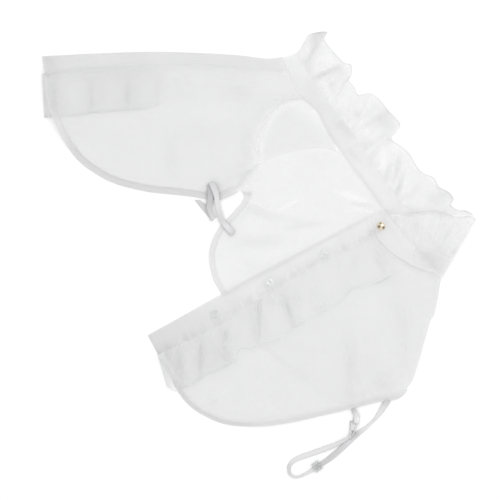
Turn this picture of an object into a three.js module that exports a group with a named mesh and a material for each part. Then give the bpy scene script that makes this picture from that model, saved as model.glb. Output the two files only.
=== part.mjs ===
// A detachable collar of sheer organza, laid open and flat as seen from straight above.
// The right front lies inside up, the back panel lies below it, and the left front is
// folded over the back panel at the left shoulder. X runs right, Y up the page, Z off the table.
import * as THREE from "three";

// Driving dimensions, in millimetres.
const STEP = 1.1; // one step of the plan grid, whose x runs right and y down the page
const CLOTH = 1.0; // panels and ruffles
const TAPE = 1.6; // plackets, neckband and bindings, which are folded double
const STRAP = 1.2;
const STRAP_WIDTH = 6.5;
const SEAM = 0.4; // clearance between two pieces that are sewn together
const BINDING_WIDTH = 6.4;
const BUTTON_RADIUS = 4.8;
const BUTTON_SHANK = { radius: 1.2, length: 1.6 };
const SNAP = { radius: 4.8, rim: 0.8, crown: 1.4, socket: 1.8, height: 2.2 };
const RING_WIRE = 1.6;
const SLIDER = { long: 9, wide: 11, bar: 1.6, thick: 1.4, turn: 33.2 }; // turn in degrees
const ROUND = 16; // sides of a round piece

// Heights of middle surfaces above the table, in millimetres.
const ON_TABLE = 0.6;
const ON_BACK = 2.9; // on the back panel
const BINDING_LIFT = 0.2; // of the left hem binding over its panel
const PLACKET_LIFT = 0.3; // of the left placket over its panel
const PLEAT_RISE = 2; // from one layer of the shoulder pleat to the next
const RIGHT_FRONT_LIFT = 7; // where the right front rides on its own ruffle
const RIGHT_PLACKET = { seam: 5.4, edge: 1.2, collarEdge: 3 };
const HIDDEN_RUFFLE_ROOT = 3.7;
const FAR_BAND_FRONT_TOP = 1.8; // top edge of the neckband at its right front end
const NEAR_BAND = { seam: 4.3, foldTop: 4.7, frontTop: 4.9 };
const BUTTON_SEAT = 4.6;

// Stretches over which a height changes. The first three are millimetres along the left placket
// from its lower end, and away from the right placket's seam. The others are shares of an edge.
const LEFT_CLIMB = { from: 40, to: 66 };
const RIGHT_SWELL = { from: 0, to: 14 };
const RIGHT_FALL = { from: 52, to: 92 };
const PLEAT_BLEND = { from: 0.88, to: 0.99 };
const RIGHT_PLACKET_CLIMB = { from: 0.85, to: 1 };
const BAND_SEAM_FALL = { from: 0.14, to: 0.24 };
const BAND_TOP_FALL = { from: 0.1, to: 0.3 };

// Sections along each panel and its binding, and along each strip.
const RIGHT_COLUMNS = 24;
const LEFT_COLUMNS = 26;
const BACK_COLUMNS = 28;
const PLACKET_COLUMNS = 20;
const FAR_BAND_COLUMNS = 32;
const NEAR_BAND_COLUMNS = 14;
const PANEL_ROWS = 10;
const STRIP_ROWS = 3;
const LINES_PER_FOLD = 2; // of a ruffle
const RUFFLE_ROWS = 4;
const STEPS_PER_BEND = 3; // of a strap
const TURN_STEPS = 4; // round each fold of a doubled layer

// Outlines: places on the plan grid.
const FAR_NECKLINE = [
  [284, 58], [288, 70], [293, 79.5], [300, 93], [308, 101], [317.6, 111], [327, 130], [338, 147.5],
  [352.5, 168], [363.6, 182.6], [376.4, 200], [389, 216], [402, 232], [415, 247], [429, 263], [441.5, 277],
];
const FAR_BAND_TOP = [
  [295.8, 53.7], [304, 67], [312.6, 80.6], [334, 109], [355.7, 136.4], [370, 157],
  [382.8, 176], [397, 197], [410, 212], [425, 229], [440, 245], [451.5, 259.5],
];
const NEAR_NECKLINE = [
  [441.5, 277], [435.6, 273], [419, 268], [402.4, 259.5], [389, 249.5], [377, 236], [371, 216],
];
const NEAR_BAND_TOP = [
  [451.5, 259.5], [435.6, 253], [415.7, 250.5], [403, 237], [394, 224], [385, 211],
];
const RIGHT_SEAM = [
  [50.5, 75], [88, 70], [116, 68.6], [146, 67.6], [179, 66], [206, 67], [229, 68.5], [260, 71.5],
  [287.5, 72],
];
const RIGHT_PLACKET_EDGE = [
  [42.4, 56.6], [88, 54.1], [146, 52.1], [189, 52.8], [237, 55.4], [267, 59], [282.5, 57.5],
];
const RIGHT_HEM = [
  [50.5, 79], [52, 94], [59, 116], [70, 139.5], [82.5, 156.5], [99, 169], [118, 178.5], [147, 185.8],
  [171.6, 188.6], [194, 191.2], [215, 194.5], [226, 191.5], [236, 187],
];
const LEFT_SEAM = [
  [163.7, 352.3], [171.4, 348], [195.5, 337], [223, 322], [241.7, 309], [265.8, 296],
  [288, 281], [306.5, 270], [334, 255.5], [358, 244.4], [375.5, 236],
];
const LEFT_PLACKET_EDGE = [
  [148.3, 335.9], [185, 315.5], [223.2, 294.3], [278.7, 263.8], [325, 239.8], [369.6, 217],
];
const LEFT_HEM = [
  [164.6, 356], [174, 372], [182, 387], [192.7, 400.7], [207, 410.5], [224.7, 418], [244, 420.5],
  [268.3, 419.5], [292, 416], [323, 409], [349.3, 403], [375, 396.5], [396.5, 393], [406.5, 387.5],
];
const RIGHT_NECK = [[287.5, 72], [291.9, 80], [298.9, 93.4], [303, 98.2]];
// Where the plackets and their ruffles meet the panels, short of the panels' own corners.
const RIGHT_PLACKET_SEAM = [[46, 75.6], ...RIGHT_SEAM.slice(1, -1), [286, 72]];
const RIGHT_RUFFLE_SEAM = [[46, 77.5], ...RIGHT_SEAM.slice(1)];
const LEFT_PLACKET_SEAM = [[158.4, 354.6], ...LEFT_SEAM.slice(1)];
const LEFT_RUFFLE_SEAM = [[160.5, 357], ...LEFT_SEAM.slice(1, -1), [375, 238]];
const LEFT_NECK = [[375.5, 236], [388, 249.5], [402, 260], [418.7, 268.7], [435, 274], [440.5, 279]];
const LEFT_SHOULDER = [[440.5, 279], [434.5, 312], [429.4, 322], [421, 352], [412.5, 379], [406.5, 387.5]];
const BACK_NECK = [
  [339.2, 151.6], [351.7, 168.6], [362.8, 183.2], [375.6, 200.6], [388.2, 216.6], [401.2, 232.6],
  [414.2, 247.6], [428.2, 263.6], [440.3, 277.3],
];
const BACK_HEM = [
  [247.5, 171], [251.5, 184], [251.5, 195], [247.5, 204.5], [241, 212.5], [233.5, 221], [226, 228.5],
  [220.5, 237], [216.5, 247], [215, 257.5], [217, 270], [222.5, 284], [245, 316.5], [265.5, 341.5],
  [307, 374.5], [326, 390], [347, 398], [376, 394], [405, 383],
];
const BACK_RIGHT_SHOULDER = [
  [339.2, 151.6], [330, 148.6], [318, 147.2], [300, 149.4], [284, 153.2], [269, 158.6], [258, 164],
  [247.5, 171],
];
const BACK_LEFT_SHOULDER = [[440.3, 277.3], [433, 312], [427.5, 322], [418.5, 352], [410, 376], [405, 383]];
// The shoulder pleat of the right front: its visible fold, its hidden fold and the shoulder seam.
const PLEAT_FOLD = [
  [303, 98.2], [293, 99.5], [281, 104.5], [272, 113], [265, 123], [259, 136], [257, 150], [258.5, 163],
  [247.5, 179], [236, 187],
];
const PLEAT_HIDDEN_FOLD = [
  [300.5, 93.5], [289, 91.5], [275, 95.5], [262, 104.5], [252, 115.5], [245, 131], [242, 148], [242, 160],
  [234, 171], [226, 180],
];
const FRONT_RIGHT_SHOULDER = [
  [337, 149.5], [329, 146.6], [318, 145.4], [300, 147.6], [283, 151.4], [268, 156.8], [257, 162.2],
  [246, 169.5],
];
const PLEAT_NECK = { from: 0.195, to: 0.383 }; // shares of the far neckline below the pleat
const PLEAT_NECK_SHARE = 0.25; // of the seam that the pleat's lowest layer ends at
const PLEAT_FROM = 0.2; // share of the right panel's inner end where the pleat starts
const LEFT_NECK_SHARE = 0.4; // of the left panel's inner end, the rest being the shoulder

// Low rolls of slack cloth, at shares u and v of their panel.
const BACK_ROLLS = [
  { u: 0.2, width: 0.05, height: 2.2 },
  { u: 0.31, width: 0.04, height: 1.6 },
];
const LEFT_ROLLS = [
  { u: 0.55, v: 0.68, width: 0.05, length: 0.2, height: 2 },
  { u: 0.68, v: 0.68, width: 0.035, length: 0.22, height: 2.6 },
  { u: 0.82, v: 0.72, width: 0.04, length: 0.2, height: 2 },
];

// Ruffles: a row for each ridge or hollow. at is its share of the seam, x and y where it ends on
// the plan grid, and rise how high it ends above what the ruffle lies on.
const FAR_NECK_FOLDS = [
  { at: 0, x: 303.5, y: 46, rise: 2.2 },
  { at: 0.02, x: 308.5, y: 36, rise: 6 },
  { at: 0.055, x: 326.5, y: 32.3, rise: 2.5 },
  { at: 0.085, x: 324, y: 41, rise: 7 },
  { at: 0.12, x: 333, y: 51.5, rise: 2 },
  { at: 0.16, x: 343, y: 63, rise: 5 },
  { at: 0.19, x: 350.5, y: 66, rise: 8 },
  { at: 0.225, x: 351, y: 76.5, rise: 2.5 },
  { at: 0.25, x: 347.5, y: 80, rise: 6 },
  { at: 0.285, x: 354.5, y: 88, rise: 3 },
  { at: 0.315, x: 357.5, y: 95.5, rise: 7 },
  { at: 0.35, x: 370, y: 93.5, rise: 2.5 },
  { at: 0.385, x: 379, y: 100, rise: 6 },
  { at: 0.42, x: 388.5, y: 111, rise: 2 },
  { at: 0.455, x: 399.5, y: 124.5, rise: 6 },
  { at: 0.49, x: 395.5, y: 132.5, rise: 8 },
  { at: 0.52, x: 391, y: 139.5, rise: 3 },
  { at: 0.555, x: 401, y: 147, rise: 6 },
  { at: 0.59, x: 409.5, y: 154, rise: 2 },
  { at: 0.625, x: 414.5, y: 164, rise: 6 },
  { at: 0.66, x: 422, y: 172.5, rise: 2 },
  { at: 0.695, x: 433, y: 178, rise: 6 },
  { at: 0.73, x: 439, y: 187, rise: 2 },
  { at: 0.765, x: 447.5, y: 192, rise: 4 },
  { at: 0.8, x: 453, y: 198.5, rise: 2.4 },
  { at: 0.835, x: 451, y: 205, rise: 1.4 },
  { at: 0.875, x: 457.5, y: 210, rise: 2.4 },
  { at: 0.915, x: 466, y: 210.5, rise: 1.4 },
  { at: 0.955, x: 472, y: 214, rise: 2 },
  { at: 1, x: 475, y: 219, rise: 1.6 },
];
const NEAR_NECK_FOLDS = [
  { at: 0, x: 475, y: 219, rise: 6 },
  { at: 0.06, x: 468, y: 216, rise: 7.5 },
  { at: 0.12, x: 460, y: 217, rise: 6 },
  { at: 0.18, x: 452.5, y: 216.5, rise: 9 },
  { at: 0.25, x: 444, y: 212.5, rise: 6 },
  { at: 0.33, x: 433, y: 211, rise: 9.5 },
  { at: 0.42, x: 417, y: 211.5, rise: 6 },
  { at: 0.52, x: 409, y: 213, rise: 8.5 },
  { at: 0.65, x: 402, y: 215, rise: 6 },
  { at: 0.8, x: 397, y: 213.5, rise: 7.5 },
  { at: 1, x: 393, y: 209, rise: 6 },
];
const LEFT_PLACKET_FOLDS = [
  { at: 0, x: 167, y: 386, rise: 1.1 },
  { at: 0.05, x: 175.5, y: 391, rise: 4.8 },
  { at: 0.1, x: 183, y: 388, rise: 1.1 },
  { at: 0.15, x: 192, y: 384.5, rise: 4.8 },
  { at: 0.2, x: 201, y: 379.5, rise: 1.1 },
  { at: 0.25, x: 213, y: 372, rise: 4.8 },
  { at: 0.3, x: 227, y: 366.5, rise: 1.1 },
  { at: 0.345, x: 235, y: 360, rise: 4.8 },
  { at: 0.38, x: 240.5, y: 349.5, rise: 1.1 },
  { at: 0.43, x: 253, y: 348, rise: 4.8 },
  { at: 0.48, x: 264, y: 344, rise: 1.1 },
  { at: 0.53, x: 279, y: 338, rise: 4.8 },
  { at: 0.57, x: 295, y: 328, rise: 1.1 },
  { at: 0.62, x: 305, y: 322.5, rise: 4.8 },
  { at: 0.66, x: 316, y: 317, rise: 1.1 },
  { at: 0.71, x: 326, y: 310.5, rise: 4.8 },
  { at: 0.755, x: 337, y: 304.5, rise: 1.1 },
  { at: 0.8, x: 345, y: 297, rise: 4.8 },
  { at: 0.845, x: 352, y: 290.5, rise: 1.1 },
  { at: 0.89, x: 366, y: 285.5, rise: 4.8 },
  { at: 0.945, x: 379, y: 283.5, rise: 1.1 },
  { at: 1, x: 391, y: 276, rise: 4.8 },
];
const RIGHT_PLACKET_FOLDS = [
  { at: 0, x: 44.5, y: 117.6, rise: 1.6 },
  { at: 0.05, x: 57, y: 117.5, rise: 4 },
  { at: 0.1, x: 69, y: 117, rise: 0.9 },
  { at: 0.15, x: 80, y: 116.3, rise: 4 },
  { at: 0.2, x: 92, y: 113.5, rise: 0.9 },
  { at: 0.25, x: 103, y: 113, rise: 4 },
  { at: 0.3, x: 114, y: 112, rise: 0.9 },
  { at: 0.35, x: 128.5, y: 111, rise: 4 },
  { at: 0.4, x: 139, y: 110, rise: 0.9 },
  { at: 0.45, x: 149, y: 108.5, rise: 4 },
  { at: 0.5, x: 158, y: 105.5, rise: 0.9 },
  { at: 0.55, x: 168, y: 100.5, rise: 4 },
  { at: 0.6, x: 181, y: 98.8, rise: 0.9 },
  { at: 0.65, x: 194, y: 98.3, rise: 4 },
  { at: 0.7, x: 207, y: 99, rise: 0.9 },
  { at: 0.76, x: 222, y: 101, rise: 3.6 },
  { at: 0.82, x: 237, y: 102, rise: 0.9 },
  { at: 0.89, x: 252, y: 98, rise: 3 },
];

// Straps: the left one by its middle line, the right one by its two edges at each bend and fold.
const LEFT_STRAP_LINE = [
  { x: 388, y: 399.5, z: 1.4 },
  { x: 377.4, y: 416, z: 0.6 },
  { x: 360, y: 432, z: 0.6 },
  { x: 345, y: 445, z: 0.6 },
  { x: 332.7, y: 456, z: 0.6 },
  { x: 318.9, y: 465.5, z: 0.6 },
  { x: 306, y: 473.5, z: 0.6 },
  { x: 296, y: 477, z: 0.6 },
  { x: 289.5, y: 473, z: 0.6 },
  { x: 289.5, y: 465, z: 0.6 },
  { x: 296, y: 459.5, z: 0.6 },
  { x: 309.7, y: 454.5, z: 0.6 },
  { x: 323, y: 449.5, z: 1.2 },
  { x: 334, y: 444.5, z: 2.4 },
  { x: 344, y: 438.5, z: 2.8 },
  { x: 352.5, y: 430, z: 2.8 },
];
const LEFT_TAB_LINE = [
  { x: 354.2, y: 410.8, z: 3 },
  { x: 355.5, y: 415, z: 2.8 },
  { x: 356.4, y: 423.5, z: 2.6 },
];
const RIGHT_STRAP_SECTIONS = [
  { leftX: 194.5, leftY: 199.8, rightX: 200.5, rightY: 200.4, z: 0.6 },
  { leftX: 203, leftY: 210.5, rightX: 208, rightY: 207, z: 0.6 },
  { leftX: 211, leftY: 220, rightX: 215, rightY: 216.3, z: 0.6 },
  { leftX: 212, leftY: 221, rightX: 216, rightY: 217.3, z: 1.6 },
  { leftX: 211, leftY: 219.6, rightX: 215, rightY: 216, z: 2.6 },
  { leftX: 206.5, leftY: 208, rightX: 212, rightY: 208, z: 3 },
  { leftX: 207.5, leftY: 195, rightX: 214, rightY: 195, z: 3.6 },
  { leftX: 208, leftY: 184.5, rightX: 215.5, rightY: 184, z: 3.4 },
  { leftX: 208.3, leftY: 183.4, rightX: 215.8, rightY: 182.8, z: 4.4 },
  { leftX: 209, leftY: 184.5, rightX: 215.5, rightY: 184, z: 5.4 },
  { leftX: 213.5, leftY: 195, rightX: 219, rightY: 194, z: 5.2 },
  { leftX: 215.5, leftY: 206, rightX: 220, rightY: 205, z: 3 },
  { leftX: 219.5, leftY: 221, rightX: 224.5, rightY: 219, z: 2.5 },
  { leftX: 225, leftY: 228.5, rightX: 228.7, rightY: 224.7, z: 2.9 },
  { leftX: 231.4, leftY: 236, rightX: 235.5, rightY: 231.8, z: 3 },
];
const SNAP_PLACES = [[215, 314.5], [269.5, 281.5], [323.5, 254]];
const BUTTON_PLACE = [379.8, 226.4];
const SLIDER_PLACE = [317, 466];
const HOOK_CORNERS = [[349.5, 420.5], [349.5, 432.5], [354.5, 432.5], [359.5, 420.5]];

const { lerp, smoothstep, degToRad } = THREE.MathUtils;

// How far a value is through a stretch, from 0 to 1.
const through = ({ from, to }, value) => smoothstep(value, from, to);
const sum = (values) => values.reduce((total, value) => total + value, 0);

// The plan place of a grid place, in millimetres with y up the page.
const plan = ([x, y]) => new THREE.Vector2(x * STEP, -y * STEP);

// A smooth edge through grid places, read by its share of the length.
function edge(places) {
  const curve = new THREE.SplineCurve(places.map(plan));
  return (share) => curve.getPointAt(THREE.MathUtils.clamp(share, 0, 1));
}

// An edge moved sideways, to its right as one goes along it.
function beside(line, distance) {
  const probe = 0.002;
  return (share) => {
    const ahead = line(Math.min(share + probe, 1)).sub(line(Math.max(share - probe, 0))).normalize();
    return line(share).add(new THREE.Vector2(ahead.y, -ahead.x).multiplyScalar(distance));
  };
}

// Two edges end to end, the first one as far as the share given.
const joined = (first, second, share) => (at) =>
  at < share ? first(at / share) : second((at - share) / (1 - share));

// A place on a panel stretched between its four edges.
function stretched({ near, far, start, end }, u, v) {
  const across = near(u).multiplyScalar(1 - v).add(far(u).multiplyScalar(v));
  const along = start(v).multiplyScalar(1 - u).add(end(v).multiplyScalar(u));
  const nearEnds = near(0).multiplyScalar(1 - u).add(near(1).multiplyScalar(u));
  const farEnds = far(0).multiplyScalar(1 - u).add(far(1).multiplyScalar(u));
  return across.add(along).sub(nearEnds.multiplyScalar(1 - v)).sub(farEnds.multiplyScalar(v));
}

// One column of a table at a place between its rows, on a smooth curve through them.
function column(table, name, row) {
  const last = table.length - 1;
  const first = Math.min(Math.floor(row), last - 1);
  const part = row - first;
  const at = (index) => table[THREE.MathUtils.clamp(index, 0, last)][name];
  const [a, b, c, d] = [at(first - 1), at(first), at(first + 1), at(first + 2)];
  return b + 0.5 * part * (c - a + part * (2 * a - 5 * b + 4 * c - d + part * (3 * (b - c) + d - a)));
}

// A grid of points, one for each pair of shares.
function grid(columns, rows, place) {
  return Array.from({ length: columns + 1 }, (_, i) =>
    Array.from({ length: rows + 1 }, (_, j) => place(i / columns, j / rows)),
  );
}

const raised = (flat, z) => new THREE.Vector3(flat.x, flat.y, z);

// A closed sheet of cloth: grids of points on its middle surface, thickened along their normals.
// Grids that share points are sewn into one sheet.
function clothGeometry(grids, thickness) {
  const middle = [];
  const known = new Map();
  const faces = [];
  const indexOf = (point) => {
    const key = point.toArray().map((value) => value.toFixed(3)).join();
    if (!known.has(key)) known.set(key, middle.push(point) - 1);
    return known.get(key);
  };
  for (const points of grids)
    for (let i = 1; i < points.length; i++)
      for (let j = 1; j < points[i].length; j++) {
        const corners = [points[i - 1][j - 1], points[i][j - 1], points[i][j], points[i - 1][j]];
        const [a, b, c, d] = corners.map(indexOf);
        faces.push([a, b, c], [a, c, d]);
      }

  const normals = middle.map(() => new THREE.Vector3());
  for (const face of faces) {
    const [a, b, c] = face.map((index) => middle[index]);
    const normal = new THREE.Vector3().crossVectors(b.clone().sub(a), c.clone().sub(a));
    face.forEach((index) => normals[index].add(normal));
  }
  const shifted = (side) =>
    middle.map((point, index) => {
      const normal = normals[index].clone().normalize();
      const moved = point.clone().addScaledVector(normal, (side * thickness) / 2);
      moved.z = Math.max(moved.z, 0);
      return moved;
    });
  const points = [...shifted(1), ...shifted(-1)];

  const count = middle.length;
  const sides = new Set(faces.flatMap(([a, b, c]) => [`${a},${b}`, `${b},${c}`, `${c},${a}`]));
  const triangles = [];
  for (const [a, b, c] of faces) triangles.push([a, b, c], [c + count, b + count, a + count]);
  for (const side of sides) {
    const [a, b] = side.split(",").map(Number);
    if (!sides.has(`${b},${a}`)) triangles.push([b, a, a + count], [b, a + count, b + count]);
  }
  const geometry = new THREE.BufferGeometry().setFromPoints(points);
  return geometry.setIndex(triangles.flat());
}

const collar = new THREE.Group();

// Adds one named piece.
function piece(name, geometry, { color, roughness = 0.7, metalness = 0 }) {
  const mesh = new THREE.Mesh(geometry, new THREE.MeshStandardMaterial({ color, roughness, metalness }));
  mesh.name = name;
  collar.add(mesh);
  return mesh;
}

const ORGANZA = { color: 0xe6e6e6, roughness: 0.8 };
const BINDING = { color: 0xd8d8d8, roughness: 0.8 };
const ELASTIC = { color: 0xd0d0d0, roughness: 0.7 };
const CLEAR_PLASTIC = { color: 0xe8ecec, roughness: 0.2 };
const GOLD = { color: 0xc8963c, roughness: 0.25, metalness: 1 };

const farNeckline = edge(FAR_NECKLINE);
const nearNeckline = edge(NEAR_NECKLINE);
const rightSeam = edge(RIGHT_SEAM);
const leftSeam = edge(LEFT_SEAM);

// Back panel: flat on the table, with two low rolls of slack cloth.
const backSides = {
  near: edge(BACK_NECK),
  far: edge(BACK_HEM),
  start: edge(BACK_RIGHT_SHOULDER),
  end: edge(BACK_LEFT_SHOULDER),
};
function backHeight(u, v) {
  const rolls = BACK_ROLLS.map(
    ({ u: at, width, height }) => height * Math.exp(-(((u - at) / width) ** 2)),
  );
  return CLOTH / 2 + Math.sin(Math.PI * v) * sum(rolls);
}
const backGrid = grid(BACK_COLUMNS, PANEL_ROWS, (u, v) =>
  raised(stretched(backSides, u, v), backHeight(u, v)),
);
piece("back_panel", clothGeometry([backGrid], CLOTH), ORGANZA);

// Left front: on the table at its lower end, on the back panel further up.
const leftSides = {
  near: leftSeam,
  far: edge(LEFT_HEM),
  start: edge([LEFT_SEAM[0], LEFT_HEM[0]]),
  end: joined(edge(LEFT_NECK), edge(LEFT_SHOULDER), LEFT_NECK_SHARE),
};
const leftPlacketEnd = plan(LEFT_PLACKET_EDGE[0]);
const alongLeftPlacket = plan(LEFT_PLACKET_EDGE.at(-1)).sub(leftPlacketEnd).normalize();
function leftHeight(place) {
  const along = place.clone().sub(leftPlacketEnd).dot(alongLeftPlacket);
  return lerp(ON_TABLE, ON_BACK, through(LEFT_CLIMB, along));
}
function leftPanelHeight(place, u, v) {
  const inside = Math.sin(Math.PI * v) ** 0.5;
  const rolls = LEFT_ROLLS.map(
    ({ u: atU, v: atV, width, length, height }) =>
      height * Math.exp(-(((u - atU) / width) ** 2) - ((v - atV) / length) ** 2),
  );
  return leftHeight(place) + inside * sum(rolls);
}
const leftGrid = grid(LEFT_COLUMNS, PANEL_ROWS, (u, v) => {
  const flat = stretched(leftSides, u, v);
  return raised(flat, leftPanelHeight(flat, u, v));
});
piece("left_front_panel", clothGeometry([leftGrid], CLOTH), ORGANZA);

// Right front: over its own ruffle along the placket, down to the table at the hem, and
// folded in a pleat at the shoulder, whose last layer reaches the shoulder seam.
const PLEAT_TOP = CLOTH / 2 + 2 * PLEAT_RISE;
const rightSides = {
  near: rightSeam,
  far: edge(RIGHT_HEM),
  start: edge([RIGHT_SEAM[0], RIGHT_HEM[0]]),
  end: joined(edge(RIGHT_NECK), edge(PLEAT_FOLD), PLEAT_FROM),
};
// Height over the ruffle by the distance from the placket seam.
function rightHeight(place, u) {
  const away = rightSeam(u).y - place.y;
  const swell = lerp(RIGHT_PLACKET.seam, RIGHT_FRONT_LIFT, through(RIGHT_SWELL, away));
  const overRuffle = lerp(swell, ON_TABLE, through(RIGHT_FALL, away));
  return lerp(overRuffle, PLEAT_TOP, through(PLEAT_BLEND, u));
}
const rightGrid = grid(RIGHT_COLUMNS, PANEL_ROWS, (u, v) => {
  const flat = stretched(rightSides, u, v);
  return raised(flat, rightHeight(flat, u));
});
const pleatFold = edge(PLEAT_FOLD);
const hiddenFold = edge(PLEAT_HIDDEN_FOLD);
const pleatNeck = (share) => farNeckline(lerp(PLEAT_NECK.from, PLEAT_NECK.to, share));
const pleatSeam = joined(
  beside(pleatNeck, 2 * SEAM),
  edge(FRONT_RIGHT_SHOULDER),
  PLEAT_NECK_SHARE,
);
// The points of the pleat below one place of its visible fold, down to the shoulder seam.
function pleatLine(share) {
  const [fold, hidden, seam] = [pleatFold(share), hiddenFold(share), pleatSeam(share)];
  const outward = fold.clone().sub(hidden).normalize();
  const radius = PLEAT_RISE / 2;
  const layers = [PLEAT_TOP, PLEAT_TOP - PLEAT_RISE, PLEAT_TOP - 2 * PLEAT_RISE];
  const turn = (centre, side, high) =>
    Array.from({ length: TURN_STEPS + 1 }, (_, k) => {
      const angle = (Math.PI * k) / TURN_STEPS;
      const flat = centre.clone().addScaledVector(outward, side * radius * Math.sin(angle));
      return raised(flat, high - radius + radius * Math.cos(angle));
    });
  const flatRun = [1 / 3, 2 / 3, 1].map((part) => raised(hidden.clone().lerp(seam, part), layers[2]));
  const between = raised(fold.clone().lerp(hidden, 0.5), layers[1]);
  return [...turn(fold, 1, layers[0]), between, ...turn(hidden, -1, layers[1]), ...flatRun];
}
const pleatRows = Math.round(PANEL_ROWS * (1 - PLEAT_FROM));
const pleatGrid = Array.from({ length: pleatRows + 1 }, (_, k) => pleatLine(k / pleatRows));
const pleatColumns = pleatGrid[0].map((_, i) => pleatGrid.map((line) => line[i]));
piece("right_front_panel", clothGeometry([rightGrid, pleatColumns], CLOTH), ORGANZA);

// A folded strip between two edges.
function strip(name, inner, outer, height, columns, rows, thickness, look) {
  const place = (u, v) => {
    const flat = inner(u).lerp(outer(u), v);
    return raised(flat, height(u, v, flat));
  };
  return piece(name, clothGeometry([grid(columns, rows, place)], thickness), look);
}

// Hem bindings: outside the panels' far edges.
function binding(name, hem, height, columns) {
  strip(name, beside(hem, SEAM), beside(hem, BINDING_WIDTH), height, columns, 2, TAPE, BINDING);
}
binding("back_hem_binding", backSides.far, () => TAPE / 2, BACK_COLUMNS);
const leftHemHeight = (u, v, flat) => leftHeight(flat) + BINDING_LIFT;
binding("left_hem_binding", leftSides.far, leftHemHeight, LEFT_COLUMNS);
const rightHemHeight = (u) => Math.max(rightHeight(rightSides.far(u), u), TAPE / 2);
binding("right_hem_binding", rightSides.far, rightHemHeight, RIGHT_COLUMNS);

// Plackets: folded strips along the two front edges.
function placket(name, seam, freeEdge, height) {
  strip(name, beside(seam, -SEAM), freeEdge, height, PLACKET_COLUMNS, STRIP_ROWS, TAPE, ORGANZA);
}
placket("right_placket", edge(RIGHT_PLACKET_SEAM), edge(RIGHT_PLACKET_EDGE), (u, v) => {
  const frontEnd = lerp(RIGHT_PLACKET.seam, RIGHT_PLACKET.edge, v);
  const collarEnd = lerp(PLEAT_TOP, RIGHT_PLACKET.collarEdge, v);
  return lerp(frontEnd, collarEnd, through(RIGHT_PLACKET_CLIMB, u));
});
const leftPlacketHeight = (flat) => leftHeight(flat) + PLACKET_LIFT;
placket("left_placket", edge(LEFT_PLACKET_SEAM), edge(LEFT_PLACKET_EDGE), (u, v, flat) =>
  leftPlacketHeight(flat),
);

// The grid of a ruffle: lines from the seam to the free edge, some of them on each fold's row.
function ruffleGrid(seam, folds, seamHeight, restHeight = () => 0) {
  const lines = (folds.length - 1) * LINES_PER_FOLD;
  return grid(lines, RUFFLE_ROWS, (u, v) => {
    const row = u * (folds.length - 1);
    const share = column(folds, "at", row);
    const tip = plan([column(folds, "x", row), column(folds, "y", row)]);
    const root = seam(share);
    const low = seamHeight(share, root);
    const high = restHeight(tip) + column(folds, "rise", row);
    return raised(root.lerp(tip, v), lerp(low, high, v ** 0.8));
  });
}

// Placket ruffles: the left one lies on the panel, the right one below it.
const leftRuffle = ruffleGrid(
  beside(edge(LEFT_RUFFLE_SEAM), SEAM),
  LEFT_PLACKET_FOLDS,
  (share, root) => leftPlacketHeight(root) + (TAPE + CLOTH) / 2 + SEAM,
  (tip) => leftHeight(tip) + CLOTH / 2,
);
piece("left_placket_ruffle", clothGeometry([leftRuffle], CLOTH), ORGANZA);
const rightRuffle = ruffleGrid(
  beside(edge(RIGHT_RUFFLE_SEAM), 2 * SEAM),
  RIGHT_PLACKET_FOLDS,
  () => HIDDEN_RUFFLE_ROOT,
);
piece("right_placket_ruffle", clothGeometry([rightRuffle], CLOTH), ORGANZA);

// Neckband and neck ruffle: each one strip, flat along the far half of the neck, folded back on
// itself at the left shoulder.
const CREASE_OUTWARD = new THREE.Vector2(Math.cos(Math.PI / 6), -Math.sin(Math.PI / 6));
function foldedStrip(farGrid, nearGrid) {
  const [below, above] = [farGrid.at(-1), nearGrid[0]];
  above.forEach((point, j) => point.set(below[j].x, below[j].y, point.z));
  const turn = Array.from({ length: TURN_STEPS - 1 }, (_, k) => {
    const angle = (Math.PI * (k + 1)) / TURN_STEPS;
    return below.map((low, j) => {
      const radius = (above[j].z - low.z) / 2;
      const flat = new THREE.Vector2(low.x, low.y);
      flat.addScaledVector(CREASE_OUTWARD, radius * Math.sin(angle));
      return raised(flat, low.z + radius - radius * Math.cos(angle));
    });
  });
  return [...farGrid, ...turn, ...nearGrid];
}
const farBandTop = edge(FAR_BAND_TOP);
const nearBandTop = edge(NEAR_BAND_TOP);
const farBandSeam = beside(farNeckline, -SEAM);
function farBandHeight(u, v) {
  const seam = lerp(PLEAT_TOP, TAPE / 2, through(BAND_SEAM_FALL, u));
  const top = lerp(FAR_BAND_FRONT_TOP, TAPE / 2, through(BAND_TOP_FALL, u));
  return lerp(seam, top, v);
}
const nearBandHeight = (u, v) =>
  lerp(NEAR_BAND.seam, lerp(NEAR_BAND.foldTop, NEAR_BAND.frontTop, u), v);
const bandFar = grid(FAR_BAND_COLUMNS, STRIP_ROWS, (u, v) =>
  raised(farBandSeam(u).lerp(farBandTop(u), v), farBandHeight(u, v)),
);
const bandNear = grid(NEAR_BAND_COLUMNS, STRIP_ROWS, (u, v) =>
  raised(nearNeckline(u).lerp(nearBandTop(u), v), nearBandHeight(u, v)),
);
piece("neckband", clothGeometry([foldedStrip(bandFar, bandNear)], TAPE), ORGANZA);

const ruffleFar = ruffleGrid(beside(farBandTop, -2 * SEAM), FAR_NECK_FOLDS, (share) =>
  farBandHeight(share, 1),
);
const ruffleNear = ruffleGrid(beside(nearBandTop, 2 * SEAM), NEAR_NECK_FOLDS, (share) =>
  nearBandHeight(share, 1),
);
piece("neck_ruffle", clothGeometry([foldedStrip(ruffleFar, ruffleNear)], CLOTH), ORGANZA);

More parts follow.
